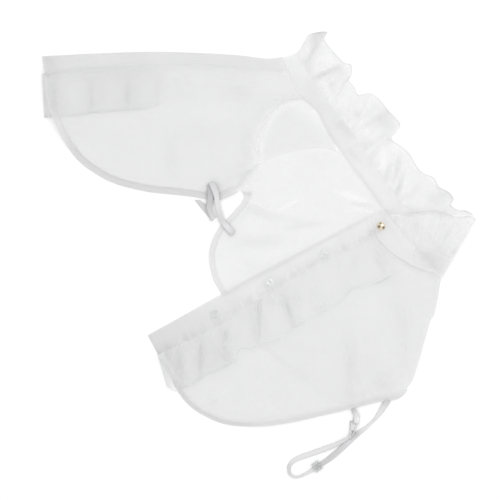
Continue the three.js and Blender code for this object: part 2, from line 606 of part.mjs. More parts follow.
// Ball button on its shank, standing on the near end of the neckband.
function ballButton() {
  const { radius, length } = BUTTON_SHANK;
  const neck = Math.asin(radius / BUTTON_RADIUS);
  const profile = [new THREE.Vector2(0, 0), new THREE.Vector2(radius, 0)];
  for (let k = 0; k <= ROUND / 2; k++) {
    const angle = lerp(neck, Math.PI, k / (ROUND / 2));
    const height = length + BUTTON_RADIUS * (Math.cos(neck) - Math.cos(angle));
    profile.push(new THREE.Vector2(k === ROUND / 2 ? 0 : BUTTON_RADIUS * Math.sin(angle), height));
  }
  return new THREE.LatheGeometry(profile, ROUND).rotateX(Math.PI / 2);
}
function place(mesh, gridPlace, z) {
  const flat = plan(gridPlace);
  mesh.position.set(flat.x, flat.y, z);
}
place(piece("ball_button", ballButton(), GOLD), BUTTON_PLACE, BUTTON_SEAT + TAPE / 2 + SEAM);

// Clear snaps: a rim, a domed crown and the socket's hole in it.
function snap() {
  const { radius, rim, crown, socket, height } = SNAP;
  const outline = [
    [0, 0], [radius, 0], [radius, rim], [socket + crown, height],
    [socket, height], [socket, rim], [0, rim],
  ];
  const profile = outline.map(([r, z]) => new THREE.Vector2(r, z));
  return new THREE.LatheGeometry(profile, ROUND).rotateX(Math.PI / 2);
}
SNAP_PLACES.forEach((gridPlace, index) => {
  const z = leftPlacketHeight(plan(gridPlace)) + TAPE / 2 + SEAM;
  place(piece(`snap_${index + 1}`, snap(), CLEAR_PLASTIC), gridPlace, z);
});

// A ribbon along a middle line given by a table of x, y and z.
function ribbon(name, line) {
  const at = (share, key) => column(line, key, share * (line.length - 1));
  const middle = (share) => plan([at(share, "x"), at(share, "y")]);
  const [left, right] = [beside(middle, -STRAP_WIDTH / 2), beside(middle, STRAP_WIDTH / 2)];
  strip(name, left, right, (u) => at(u, "z"), (line.length - 1) * STEPS_PER_BEND, 2, STRAP, ELASTIC);
}
ribbon("left_strap", LEFT_STRAP_LINE);
ribbon("left_strap_tab", LEFT_TAB_LINE);

const rightBends = RIGHT_STRAP_SECTIONS.length - 1;
const rightStrapGrid = grid(rightBends * STEPS_PER_BEND, 2, (u, v) => {
  const row = u * rightBends;
  const at = (key) => column(RIGHT_STRAP_SECTIONS, key, row);
  const flat = plan([at("leftX"), at("leftY")]).lerp(plan([at("rightX"), at("rightY")]), v);
  return raised(flat, at("z"));
});
piece("right_strap", clothGeometry([rightStrapGrid], STRAP), ELASTIC);

// A flat plate with holes, cut from an outline.
function plate(outline, holes, thickness) {
  const shape = new THREE.Shape(outline);
  shape.holes = holes;
  return new THREE.ExtrudeGeometry(shape, { depth: thickness, bevelEnabled: false, curveSegments: 4 });
}

// Slider on the left strap: a plate with two slots and a bar between them.
function slider() {
  const { long, wide, bar, thick } = SLIDER;
  const [right, top] = [long / 2, wide / 2];
  const outline = [[-right, -top], [right, -top], [right, top], [-right, top]];
  const slotRadius = (long - 3 * bar) / 4;
  const slotEnd = top - bar - slotRadius;
  const slots = [-1, 1].map((side) => {
    const middle = side * (bar / 2 + slotRadius);
    const slot = new THREE.Path();
    slot.absarc(middle, slotEnd, slotRadius, 0, Math.PI);
    slot.absarc(middle, -slotEnd, slotRadius, Math.PI, 2 * Math.PI);
    return slot;
  });
  return plate(outline.map(([x, y]) => new THREE.Vector2(x, y)), slots, thick);
}
const strapSlider = piece("strap_slider", slider(), CLEAR_PLASTIC);
place(strapSlider, SLIDER_PLACE, STRAP + SEAM);
strapSlider.rotation.z = degToRad(SLIDER.turn);

// Hook that joins the tab on the front hem to the strap.
function hook() {
  const outer = HOOK_CORNERS.map(plan);
  const centre = new THREE.Vector2();
  outer.forEach((corner) => centre.addScaledVector(corner, 1 / outer.length));
  const inner = outer.map((corner) => {
    const inward = centre.clone().sub(corner).normalize();
    return corner.clone().addScaledVector(inward, RING_WIRE * 1.5);
  });
  return plate(outer, [new THREE.Path(inner)], RING_WIRE);
}
piece("strap_hook", hook(), CLEAR_PLASTIC);

// The origin is below the middle of the whole piece, on the table.
const bounds = new THREE.Box3().setFromObject(collar);
const middle = bounds.getCenter(new THREE.Vector3());
collar.position.set(-middle.x, -middle.y, -bounds.min.z);

export default collar;
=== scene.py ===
"""A detachable collar of sheer organza, laid open and flat on a pale table.

The plan grid is the one that the solids are drawn on: x runs right and y down the page,
and one step is 1.1 mm. Lengths below are in millimetres until a mesh is made.
"""

import math
from bisect import bisect_right

import bmesh
import bpy
from bpy.props import FloatProperty, FloatVectorProperty, PointerProperty
from mathutils import Matrix, Vector


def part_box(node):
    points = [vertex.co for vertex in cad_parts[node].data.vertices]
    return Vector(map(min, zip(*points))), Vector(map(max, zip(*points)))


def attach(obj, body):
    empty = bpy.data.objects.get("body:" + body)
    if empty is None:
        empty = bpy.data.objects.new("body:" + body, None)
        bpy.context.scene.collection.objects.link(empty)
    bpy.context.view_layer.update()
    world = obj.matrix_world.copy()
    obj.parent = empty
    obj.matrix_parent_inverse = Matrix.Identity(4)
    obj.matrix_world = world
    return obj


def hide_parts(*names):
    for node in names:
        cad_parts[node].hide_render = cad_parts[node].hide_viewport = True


bl_info = {
    "name": "Detachable Organza Collar",
    "version": (1, 0, 0),
    "blender": (4, 5, 0),
    "location": "3D View > Sidebar > Collar",
    "description": "Dresses the solids of a ruffled organza collar with sheer cloth and trimmings",
    "category": "Object",
}

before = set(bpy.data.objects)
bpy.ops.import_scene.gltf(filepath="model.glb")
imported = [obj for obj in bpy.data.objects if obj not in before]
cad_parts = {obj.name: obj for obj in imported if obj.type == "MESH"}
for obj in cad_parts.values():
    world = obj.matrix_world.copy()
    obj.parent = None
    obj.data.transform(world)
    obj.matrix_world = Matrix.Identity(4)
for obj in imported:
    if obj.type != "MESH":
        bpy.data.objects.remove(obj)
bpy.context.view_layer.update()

MM = 0.001
STEP = 1.1
BUTTON_PLACE = (379.8, 226.4)
PLAN_CENTRE = (250, 250)
BODY = "root"


def middle_of(node):
    """Middle of a node's box, in millimetres."""
    low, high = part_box(node)
    return (Vector(low) + Vector(high)) / 2 / MM


ORIGIN = middle_of("ball_button").xy - Vector((BUTTON_PLACE[0] * STEP, -BUTTON_PLACE[1] * STEP))

# The clearance at a seam, the thicknesses of cloth, doubled cloth and elastic, and their widths.
SEAM = 0.4
CLOTH = 1
TAPE = 1.6
BINDING_WIDTH = 6.4
STRAP = 1.2
STRAP_WIDTH = 6.5

# Lengths of a placket and of the far half of the neckband, over which their puckers run.
PLACKET_LENGTH = 275
FAR_BAND_LENGTH = 330

# Heights of middle surfaces above the table.
ON_TABLE = 0.6
ON_BACK = 2.9
BINDING_LIFT = 0.2
PLACKET_LIFT = 0.3
PLEAT_RISE = 2
PLEAT_TOP = CLOTH / 2 + 2 * PLEAT_RISE
RIGHT_FRONT_LIFT = 7
RIGHT_PLACKET = {"seam": 5.4, "edge": 1.2, "collar_edge": 3}
HIDDEN_RUFFLE_ROOT = 3.7
FAR_BAND_FRONT_TOP = 1.8
NEAR_BAND = {"seam": 4.3, "fold_top": 4.7, "front_top": 4.9}

# Stretches over which a height or the cover changes.
LEFT_CLIMB = (40, 66)
RIGHT_SWELL = (0, 14)
RIGHT_FALL = (52, 92)
PLEAT_BLEND = (0.88, 0.99)
RIGHT_PLACKET_CLIMB = (0.85, 1)
BAND_SEAM_FALL = (0.14, 0.24)
BAND_TOP_FALL = (0.1, 0.3)
HIDE_BLEND = (-0.6, 3.2)

# The share of their layers that pieces lose below the left front, where they are hidden.
HIDDEN_BACK = 0.95
HIDDEN_BINDING = 0.93
HIDDEN_NECK = 0.65

# Outlines: places on the plan grid.
FAR_NECKLINE = [
    (284, 58), (288, 70), (293, 79.5), (300, 93), (308, 101), (317.6, 111), (327, 130),
    (338, 147.5), (352.5, 168), (363.6, 182.6), (376.4, 200), (389, 216), (402, 232), (415, 247),
    (429, 263), (441.5, 277),
]
FAR_BAND_TOP = [
    (295.8, 53.7), (304, 67), (312.6, 80.6), (334, 109), (355.7, 136.4), (370, 157), (382.8, 176),
    (397, 197), (410, 212), (425, 229), (440, 245), (451.5, 259.5),
]
NEAR_NECKLINE = [
    (441.5, 277), (435.6, 273), (419, 268), (402.4, 259.5), (389, 249.5), (377, 236), (371, 216),
]
NEAR_BAND_TOP = [
    (451.5, 259.5), (435.6, 253), (415.7, 250.5), (403, 237), (394, 224), (385, 211),
]
RIGHT_SEAM = [
    (50.5, 75), (88, 70), (116, 68.6), (146, 67.6), (179, 66), (206, 67), (229, 68.5), (260, 71.5),
    (287.5, 72),
]
RIGHT_PLACKET_EDGE = [
    (42.4, 56.6), (88, 54.1), (146, 52.1), (189, 52.8), (237, 55.4), (267, 59), (282.5, 57.5),
]
RIGHT_HEM = [
    (50.5, 79), (52, 94), (59, 116), (70, 139.5), (82.5, 156.5), (99, 169), (118, 178.5),
    (147, 185.8), (171.6, 188.6), (194, 191.2), (215, 194.5), (226, 191.5), (236, 187),
]
LEFT_SEAM = [
    (163.7, 352.3), (171.4, 348), (195.5, 337), (223, 322), (241.7, 309), (265.8, 296), (288, 281),
    (306.5, 270), (334, 255.5), (358, 244.4), (375.5, 236),
]
LEFT_PLACKET_EDGE = [
    (148.3, 335.9), (185, 315.5), (223.2, 294.3), (278.7, 263.8), (325, 239.8), (369.6, 217),
]
LEFT_HEM = [
    (164.6, 356), (174, 372), (182, 387), (192.7, 400.7), (207, 410.5), (224.7, 418), (244, 420.5),
    (268.3, 419.5), (292, 416), (323, 409), (349.3, 403), (375, 396.5), (396.5, 393),
    (406.5, 387.5),
]
RIGHT_NECK = [(287.5, 72), (291.9, 80), (298.9, 93.4), (303, 98.2)]
RIGHT_PLACKET_SEAM = [(46, 75.6), *RIGHT_SEAM[1:-1], (286, 72)]
RIGHT_RUFFLE_SEAM = [(42.6, 74), (60, 74), *RIGHT_SEAM[1:]]
LEFT_PLACKET_SEAM = [(158.4, 354.6), *LEFT_SEAM[1:]]
LEFT_RUFFLE_SEAM = [(157.5, 353.5), *LEFT_SEAM[1:-1], (375, 238)]
LEFT_NECK = [(375.5, 236), (388, 249.5), (402, 260), (418.7, 268.7), (435, 274), (440.5, 279)]
LEFT_SHOULDER = [(440.5, 279), (434.5, 312), (429.4, 322), (421, 352), (412.5, 379), (406.5, 387.5)]
BACK_NECK = [
    (339.2, 151.6), (351.7, 168.6), (362.8, 183.2), (375.6, 200.6), (388.2, 216.6), (401.2, 232.6),
    (414.2, 247.6), (428.2, 263.6), (440.3, 277.3),
]
BACK_HEM = [
    (247.5, 171), (251.5, 184), (251.5, 195), (247.5, 204.5), (241, 212.5), (233.5, 221),
    (226, 228.5), (220.5, 237), (216.5, 247), (215, 257.5), (217, 270), (222.5, 284), (245, 316.5),
    (265.5, 341.5), (307, 374.5), (326, 390), (347, 398), (376, 394), (405, 383),
]
BACK_RIGHT_SHOULDER = [
    (339.2, 151.6), (330, 148.6), (318, 147.2), (300, 149.4), (284, 153.2), (269, 158.6),
    (258, 164), (247.5, 171),
]
BACK_LEFT_SHOULDER = [
    (440.3, 277.3), (433, 312), (427.5, 322), (418.5, 352), (410, 376), (405, 383),
]
PLEAT_FOLD = [
    (303, 98.2), (293, 99.5), (281, 104.5), (272, 113), (265, 123), (259, 136), (257, 150),
    (258.5, 163), (247.5, 179), (236, 187),
]
PLEAT_HIDDEN_FOLD = [
    (300.5, 93.5), (289, 91.5), (275, 95.5), (262, 104.5), (252, 115.5), (245, 131), (242, 148),
    (242, 160), (234, 171), (226, 180),
]
FRONT_RIGHT_SHOULDER = [
    (338.4, 150.2), (329, 146.6), (318, 145.4), (300, 147.6), (283, 151.4), (268, 156.8),
    (257, 162.2), (246, 169.5),
]
PLEAT_NECK = (0.195, 0.383)
PLEAT_NECK_SHARE = 0.25
PLEAT_FROM = 0.2
LEFT_NECK_SHARE = 0.4

# Folds of the ruffles: at is the share of the seam, x and y where the fold ends on the plan grid,
# rise how high it ends, and the last column how many more layers of gathered cloth lie there,
# which also paint shade into the colour along the fold's crest.
FOLD_NAMES = ("at", "x", "y", "rise", "dense_and_shade")
FAR_NECK_FOLDS = [
    (0, 303.5, 46, 2.2, 0.6), (0.02, 308.5, 36, 6, 1), (0.055, 326.5, 32.3, 2.5, 1),
    (0.085, 324, 41, 7, 0.6), (0.12, 333, 51.5, 2, 0), (0.16, 343, 63, 5, 0.2),
    (0.19, 350.5, 66, 8, 0.7), (0.225, 351, 76.5, 2.5, 0.1), (0.25, 347.5, 80, 6, 0.6),
    (0.285, 354.5, 88, 3, 0.1), (0.315, 357.5, 95.5, 7, 0.4), (0.35, 370, 93.5, 2.5, 0.3),
    (0.385, 379, 100, 6, 0.5), (0.42, 388.5, 111, 2, 0.5), (0.455, 399.5, 124.5, 6, 0.8),
    (0.49, 395.5, 132.5, 8, 0.9), (0.52, 391, 139.5, 3, 0.1), (0.555, 401, 147, 6, 0),
    (0.59, 409.5, 154, 2, 0), (0.625, 414.5, 164, 6, 0.3), (0.66, 422, 172.5, 2, 0),
    (0.695, 433, 178, 6, 0.2), (0.73, 439, 187, 2, 0), (0.765, 447.5, 192, 4, 0.2),
    (0.8, 453, 198.5, 2.4, 0), (0.835, 451, 205, 1.4, 0.3), (0.875, 457.5, 210, 2.4, 0.1),
    (0.915, 466, 210.5, 1.4, 0.2), (0.955, 472, 214, 2, 0.2), (1, 475, 219, 1.6, 0.3),
]
NEAR_NECK_FOLDS = [
    (0, 475, 219, 6, 0.3), (0.06, 468, 216, 7.5, 0.2), (0.12, 460, 217, 6, 0.5),
    (0.18, 452.5, 216.5, 9, 0.5), (0.25, 444, 212.5, 6, 0.3), (0.33, 433, 211, 9.5, 0.4),
    (0.42, 417, 211.5, 6, 0.5), (0.52, 409, 213, 8.5, 0.1), (0.65, 402, 215, 6, 0.2),
    (0.8, 397, 213.5, 7.5, 0), (1, 393, 209, 6, 0.1),
]
LEFT_PLACKET_FOLDS = [
    (0, 167, 386, 1.1, 1), (0.05, 175.5, 391, 4.8, 0.4), (0.1, 183, 388, 1.1, 1),
    (0.15, 192, 384.5, 4.8, 0.3), (0.2, 201, 379.5, 1.1, 1), (0.25, 213, 372, 4.8, 0.4),
    (0.3, 227, 366.5, 1.1, 0.7), (0.345, 235, 360, 4.8, 0.3), (0.38, 240.5, 349.5, 1.1, 0.1),
    (0.43, 253, 348, 4.8, 0.1), (0.48, 264, 344, 1.1, 0.6), (0.53, 279, 338, 4.8, 0.1),
    (0.57, 295, 328, 1.1, 0.7), (0.62, 305, 322.5, 4.8, 0.3), (0.66, 316, 317, 1.1, 0.3),
    (0.71, 326, 310.5, 4.8, 0), (0.755, 337, 304.5, 1.1, 0.3), (0.8, 345, 297, 4.8, 0.1),
    (0.845, 352, 290.5, 1.1, 0.3), (0.89, 366, 285.5, 4.8, 0), (0.945, 379, 283.5, 1.1, 0.2),
    (1, 391, 276, 4.8, 0.2),
]
RIGHT_PLACKET_FOLDS = [
    (0, 44.5, 117.6, 1.6, 0.4), (0.05, 57, 117.5, 4, 0.6), (0.1, 69, 117, 0.9, 0.2),
    (0.15, 80, 116.3, 4, 0), (0.2, 92, 113.5, 0.9, 0.6), (0.25, 103, 113, 4, 0.2),
    (0.3, 114, 112, 0.9, 0.1), (0.35, 128.5, 111, 4, 0.8), (0.4, 139, 110, 0.9, 0.1),
    (0.45, 149, 108.5, 4, 0), (0.5, 158, 105.5, 0.9, 0.9), (0.55, 168, 100.5, 4, 0.1),
    (0.6, 181, 98.8, 0.9, 0.4), (0.65, 194, 98.3, 4, 0), (0.7, 207, 99, 0.9, 0.2),
    (0.76, 222, 101, 3.6, 0), (0.82, 237, 102, 0.9, 0), (0.89, 252, 98, 3, 0),
]

# Slack and creases: lines on the plan grid from x, y to x2, y2, how wide and high each roll is
# in millimetres, and how many more layers of cloth lie along it. The layers also paint shade into
# the cloth's colour in creases and folds, and rows with fewer layers paint highlights.
CREASE_NAMES = ("x", "y", "x2", "y2", "width", "height", "dense_and_shade")
BACK_CREASES = [
    (236, 202, 280, 219, 6, 0.8, 0.35), (280, 218, 318, 225, 5, 0.5, 0.2),
    (247, 199, 275, 212, 2.5, 0.5, -0.25), (275, 212, 302, 198, 2.5, 0.5, -0.2),
    (233, 243, 289, 240, 7, 0.8, 0.35), (280, 229, 326, 223, 2.5, 0.5, 0.25),
    (336, 191, 376, 205, 3, 0.6, -0.35), (352, 204, 376, 205, 2, 0.3, 0.45),
    (350, 208, 372, 212, 2, 0.3, -0.2), (352, 160, 366, 184, 9, 0.3, -0.3),
    (238, 262, 262, 268, 9, 0.3, 0.15), (246, 206, 238, 222, 4, 0.3, 0.3),
    (222, 292, 372, 213, 2.5, 0, -0.1), (300, 160, 330, 156, 9, 0.3, 0.1),
]
LEFT_CREASES = [
    (352, 326, 350, 396, 4.5, 1.3, 0.22), (350, 345, 349, 398, 3, 0.6, 0.25),
    (356, 350, 364, 396, 4, 0.3, 0.12), (372, 378, 393, 386, 7, 0.6, 0.22),
    (384, 372, 380, 392, 6, 0.6, 0.12), (402, 296, 404, 350, 8, 0.8, 0.2),
    (407, 340, 407, 376, 4, 0.4, 0.25), (262, 342, 284, 362, 5, 0.4, 0.18),
    (282, 360, 316, 386, 6, 0.4, 0.16), (352, 309, 386, 314, 10, 0.3, -0.12),
    (252, 356, 288, 362, 8, 0.3, -0.1), (210, 398, 216, 404, 6, 0.3, 0.2),
    (345, 400, 372, 396, 4, 0, 0.35), (352, 394, 352, 410, 3.5, 0.3, 0.8),
    (384, 250, 392, 300, 6, 0.3, 0.1), (378, 242, 384, 262, 2.5, 0.4, 0.25),
]
RIGHT_CREASES = [
    (169, 128, 174, 178, 7, 1, 0.16), (186, 136, 214, 130, 6, 0.5, 0.1),
    (230, 92, 250, 88, 6, 0.5, 0.2), (246, 122, 252, 172, 7, 0, 0.16),
    (178, 74, 188, 98, 5, 0.3, 0.15), (70, 130, 92, 132, 5, 0.5, 0.12),
    (112, 120, 138, 128, 8, 0.4, -0.1), (200, 108, 226, 118, 8, 0.4, -0.1),
    (258, 78, 282, 84, 6, 0.3, -0.15),
]

FAR_NECK_CREASES = [
    (309, 36, 326, 33, 4.5, 0.25, 1.03), (311, 46, 318, 37, 4.5, 0, 0.69),
    (316, 43, 309, 62, 2.4, 0.15, 0.69), (306, 56, 312, 78, 4, 0, 0.46),
    (322, 56, 338, 60, 8, 0, -0.2), (312, 78.5, 344, 65, 2.1, 0.25, 0.9),
    (318, 79, 328, 73, 1.8, 0, 0.57), (333, 72, 343, 70, 4, 0, 0.4),
    (323, 80, 329, 98, 2.7, 0.2, -0.34), (328, 78, 334, 92, 2.2, 0.15, 0.4),
    (343, 90, 347, 108, 7, 0, -0.1), (352, 119, 363, 110, 2, 0.2, 0.4),
    (353, 111, 362, 121, 1.8, 0.15, 0.3), (359, 126, 364, 118, 1.8, 0.15, -0.34),
    (362, 128, 384, 113, 2, 0.15, 0.46), (380, 112, 392, 130, 9, 0, 0.52),
    (366, 108, 372, 100, 4, 0, -0.2), (368, 137, 366, 128, 3.5, 0.15, -0.31),
    (361, 148, 372, 141, 3.8, 0.15, 0.15), (386, 138, 395, 142, 3.8, 0, 0.46),
    (383, 146, 382, 172, 3.3, 0.25, -0.41), (388, 140, 396, 152, 4, 0, -0.28),
    (400, 154, 394, 186, 2.2, 0.25, 0.8), (398.5, 172, 394.5, 188, 1.7, 0.2, -0.41),
    (403.5, 172, 396.5, 197, 2, 0.2, 0.92), (393, 160, 384, 182, 2.2, 0.15, 0.46),
    (408, 160, 404, 180, 5, 0, -0.14), (420, 184, 408, 200, 3, 0.2, 0.34),
    (437, 190, 452, 197, 2.4, 0.15, 0.5), (425, 196, 448, 202, 6, 0, 0.4),
    (452, 207, 472, 213, 4.5, 0, -0.28),
]
NEAR_NECK_CREASES = [
    (392, 219, 402, 217.5, 2.6, 0.15, 0.45), (402, 217, 421, 211.5, 2.6, 0.15, 0.54),
    (435, 213.5, 455, 216.5, 2.6, 0.2, 0.9), (416, 218, 415.5, 232, 2.3, 0.3, 0.63),
    (409, 216, 410, 230, 2, 0.2, 0.36), (452, 226, 443, 241, 2.3, 0.3, 0.72),
    (443, 241, 438, 250, 2.3, 0.25, 0.54), (455, 224, 449, 238, 2.1, 0.15, -0.36),
    (424, 216, 428, 226, 4, 0, -0.26), (431, 240, 429, 252, 2.6, 0.15, 0.27),
    (467, 233, 460, 243, 1.8, 0.15, 0.81), (457, 248, 451, 255, 2.1, 0.15, 0.9),
    (470, 214, 474, 222, 3.9, 0, -0.22),
]
BAND_CREASES = [
    (415, 253, 436, 258, 3, 0.1, 0.7), (420, 259, 443, 270, 6, 0, 0.45),
    (382, 236.5, 392, 246, 2, 0.1, -0.2), (411, 249, 411, 262, 1.4, 0.1, 0.4),
    (337, 120, 352, 134, 4, 0, 0.4), (345, 146, 362, 162, 4, 0, 0.3),
    (300, 62, 306, 74, 3, 0, -0.2), (302, 80, 324, 114, 12, 0, 0.3),
    (326, 112, 350, 146, 10, 0, 0.25),
]
LEFT_PLACKET_CREASES = [
    (180.5, 347, 178, 384, 3, 0.15, 0.9), (176, 349, 175, 370, 2.4, 0.1, 0.4),
    (201.5, 336, 200.5, 374, 2.2, 0.17, 1.3), (186, 345, 188, 372, 4, 0.07, -0.42),
    (226.7, 330, 225, 341, 3, 0.12, 1.4), (219, 344, 229, 362, 7.5, 0.07, 0.6),
    (212, 330, 212, 338, 1.6, 0.05, -0.95), (227, 320, 227, 329, 1.6, 0.05, -0.95),
    (259.8, 296, 258.7, 344, 2.6, 0.17, 1.82), (255, 298, 254, 320, 2.4, 0.07, 0.63),
    (282, 292, 294.5, 325, 2.6, 0.17, 2.01), (272.5, 296, 277, 308, 2.4, 0.1, 1.22),
    (287, 289, 292, 300, 2, 0.07, 0.82), (296, 289, 303, 307, 3, 0.1, 1.01),
    (277, 309, 284, 313, 2.9, 0.07, -0.71), (266, 305, 268, 330, 5, 0.05, -0.24),
    (316, 283, 312, 300, 3, 0.1, 0.72), (322.9, 302, 323, 308, 4, 0.07, 1.82),
    (326, 298, 326, 303, 1.9, 0.05, -0.59), (339.5, 258, 340, 272, 2.4, 0.07, 0.82),
    (356.8, 253, 355.8, 271, 3.2, 0.1, 1.01), (347, 283, 351, 291, 3, 0.07, 0.82),
    (372.5, 243, 389.6, 274, 4, 0.07, 1.22), (370.5, 284.5, 391.3, 276, 2.6, 0.05, 0.8),
    (166, 352, 172, 386, 3.8, 0.1, 0.55),
]
RIGHT_PLACKET_CREASES = [
    (55, 80, 55, 116, 2.4, 0.4, 0.9), (92, 78, 91, 114, 2.4, 0.4, 0.75),
    (74, 80, 74, 112, 9, 0.3, -0.3), (129, 76, 128, 110, 2.4, 0.4, 0.9),
    (112, 80, 111, 110, 3.5, 0.3, -0.3), (158, 74, 158, 106, 2.2, 0.4, 1.05),
    (181, 72, 180, 98, 2.4, 0.4, 0.6), (147, 78, 147, 105, 8, 0.3, -0.3),
    (50, 68, 51, 118, 8, 0.3, 0.6), (227, 82, 249, 100, 7, 0.3, 0.9),
]

# Straps: places with their height and the width that shows, as the strap turns on its edge. The
# right strap has the places of its two edges and their height. The tones are painted shade and
# highlights: how much darker or lighter the strap's colour is painted along it.
LEFT_STRAP_LINE = [
    (388, 399.5, 1.4, 6.5), (377.4, 416, 0.8, 6.2), (366, 427.5, 1, 3.2), (356, 435, 1, 4.2),
    (345, 445, 0.6, 6.5), (332.7, 456, 0.6, 6.5), (318.9, 465.5, 0.6, 6.5), (306, 473.5, 0.6, 5.8),
    (296, 477, 0.8, 4.6), (289.7, 473.5, 1.4, 2.8), (289.5, 465.5, 1.4, 2.8),
    (296, 459.3, 0.9, 4.6), (309.7, 454, 0.6, 5.8), (323, 449.3, 1.2, 5.6), (334, 445, 2.4, 5),
    (344, 440, 2.8, 4.4), (350, 436, 2.8, 3),
]
STRAP_LOOP = (
    [(351.6, 422, 2.8, 1.6), (350.6, 430, 2.8, 1.6), (349.4, 439, 2.8, 2.2)],
    [(357.4, 422, 2.8, 1.6), (354.8, 430, 2.8, 1.6), (350.6, 438, 2.8, 2.2)],
)
LEFT_TAB_LINE = [
    (352.8, 408.2, 2, 5), (354.2, 410.8, 2.4, 5.4), (356.5, 416, 2.8, 6.5),
    (355.8, 423.5, 2.6, 5.6),
]
RIGHT_STRAP_SECTIONS = [
    (194.5, 199.8, 200.5, 200.4, 0.6), (203, 210.5, 208, 207, 0.6), (211, 220, 215, 216.3, 0.6),
    (212, 221, 216, 217.3, 1.6), (211, 219.6, 215, 216, 2.6), (206.5, 208, 212, 208, 3),
    (207.5, 195, 214, 195, 3.6), (208, 184.5, 215.5, 184, 3.4), (208.3, 183.4, 215.8, 182.8, 4.4),
    (209, 184.5, 215.5, 184, 5.4), (213.5, 195, 219, 194, 5.2), (215.5, 206, 220, 205, 3),
    (219.5, 221, 224.5, 219, 2.5), (225, 228.5, 228.7, 224.7, 2.9), (231.4, 236, 235.5, 231.8, 3),
]
RIGHT_STRAP_PAINTED_SHADE = (0.5, 0.5, 0.3, 0.4, 0.4, 0.7, 1.0, 0.8, 0.6, 0.5, 0.2, 0.0, 0.4, 0.0, 0.6)
STRAP_PAINTED_SHADE = [
    (350, 440, 318, 468, 5, 0, 0.7), (328, 460, 312, 468, 5, 0, 0.3),
    (296, 458, 340, 441, 4, 0, -0.05), (389, 398, 383, 407, 5, 0, 0.5),
    (350, 437, 360, 432, 4, 0, 0.9), (361, 432, 374, 421, 1.4, 0, -0.15),
    (352, 408, 355, 413, 4, 0, 0.9), (358, 417, 358, 421, 2, 0, -0.7),
    (290, 462, 290, 476, 4, 0, 0.5),
]
# How dark the fittings are, how dark the painted shade in each snap's ring is and how bright its
# painted highlight is. The button's shank by radius and height, the turn where its ball starts, and
# the places and sizes of the dark reflections painted on it.
FITTINGS = {"strap_slider": 0.45, "strap_hook": 0.3}
SNAPS = {"snap_1": (0.38, 0.0), "snap_2": (0.08, 1.0), "snap_3": (0.18, 0.2)}
SHANK_PROFILE = ((0, 0), (0.9, 0), (0.9, 0.9), (1.5, 1.2))
BALL_FROM = 0.12
BALL_STEPS = 30
BALL_PAINTED_REFLECTIONS = [(378.9, 223.6, 1.0), (377.6, 227.0, 1.6), (382.0, 228.0, 1.5)]

# Steps of an edge between two places, of a turned fold, of the pleat's lower layer and its rows.
CURVE_STEPS = 24
TURN_STEPS = 8
PLEAT_STEPS = 48
PANEL_ROWS = 60
FOLD_STEPS = 80
WELD = 0.004
EDGE_SHARE = 1 / 12

# The way the neck's fold bulges, where the light falls on the snaps, and the share of its length,
# the half sizes and the height above the cloth that a stitch has.
FOLD_TURN = -math.pi / 6
GLINT_TURN = math.radians(50)
STITCH_SHARE = 0.38
STITCH_HALF = (0.13, 0.1)
STITCH_LIFT = 0.05


def plan(x, y):
    """The place of a grid place, in millimetres."""
    return Vector((x * STEP, -y * STEP)) + ORIGIN


def clamp(value, low=0.0, high=1.0):
    return min(max(value, low), high)


def mix(a, b, share):
    return a + (b - a) * share


def through(stretch, value):
    """How far a value is through a stretch, eased at both ends."""
    part = clamp((value - stretch[0]) / (stretch[1] - stretch[0]))
    return part * part * (3 - 2 * part)


def bump(distance, width):
    return math.exp(-((distance / width) ** 2))


def between(a, b, c, d, part):
    """A smooth curve through b and c that comes from a and goes on to d."""
    bend = part * (3 * (b - c) + d - a)
    return b + 0.5 * part * (c - a + part * (2 * a - 5 * b + 4 * c - d + bend))


def along(values, row):
    """A list read between its rows."""
    last = len(values) - 1
    first = min(int(row), last - 1)
    near = [values[int(clamp(first + k, 0, last))] for k in (-1, 0, 1, 2)]
    return between(*near, row - first)


def edge(places):
    """A smooth edge through grid places, read by its share of the length."""
    points = [plan(*place) for place in places]
    steps = (len(points) - 1) * CURVE_STEPS
    line = [along(points, step / CURVE_STEPS) for step in range(steps + 1)]
    run = [0.0]
    for a, b in zip(line, line[1:]):
        run.append(run[-1] + (b - a).length)

    def at(share):
        wanted = clamp(share) * run[-1]
        i = min(max(bisect_right(run, wanted), 1), steps)
        return line[i - 1].lerp(line[i], (wanted - run[i - 1]) / (run[i] - run[i - 1]))

    return at


def length_of(line, steps=200):
    points = [line(k / steps) for k in range(steps + 1)]
    return sum((b - a).length for a, b in zip(points, points[1:]))


def beside(line, distance, probe=0.002):
    """An edge moved to its right as one goes along it, by one distance or by a share's own."""

    def at(share):
        ahead = (line(min(share + probe, 1)) - line(max(share - probe, 0))).normalized()
        apart = distance(share) if callable(distance) else distance
        return line(share) + Vector((ahead.y, -ahead.x)) * apart

    return at


def joined(first, second, share):
    """Two edges end to end, the first as far as the share given."""
    return lambda at: first(at / share) if at < share else second((at - share) / (1 - share))


def stretched(sides, u, v):
    """A place on a panel stretched between its four edges."""
    near, far, start, end = sides
    across = near(u) * (1 - v) + far(u) * v
    down = start(v) * (1 - u) + end(v) * u
    near_ends = near(0) * (1 - u) + near(1) * u
    far_ends = far(0) * (1 - u) + far(1) * u
    return across + down - near_ends * (1 - v) - far_ends * v


def inside(u, v):
    """From 0 at a panel's edges to 1 a little way in."""
    return clamp(min(u, 1 - u, v, 1 - v) / EDGE_SHARE)


def raised(flat, z):
    return Vector((flat.x, flat.y, z))


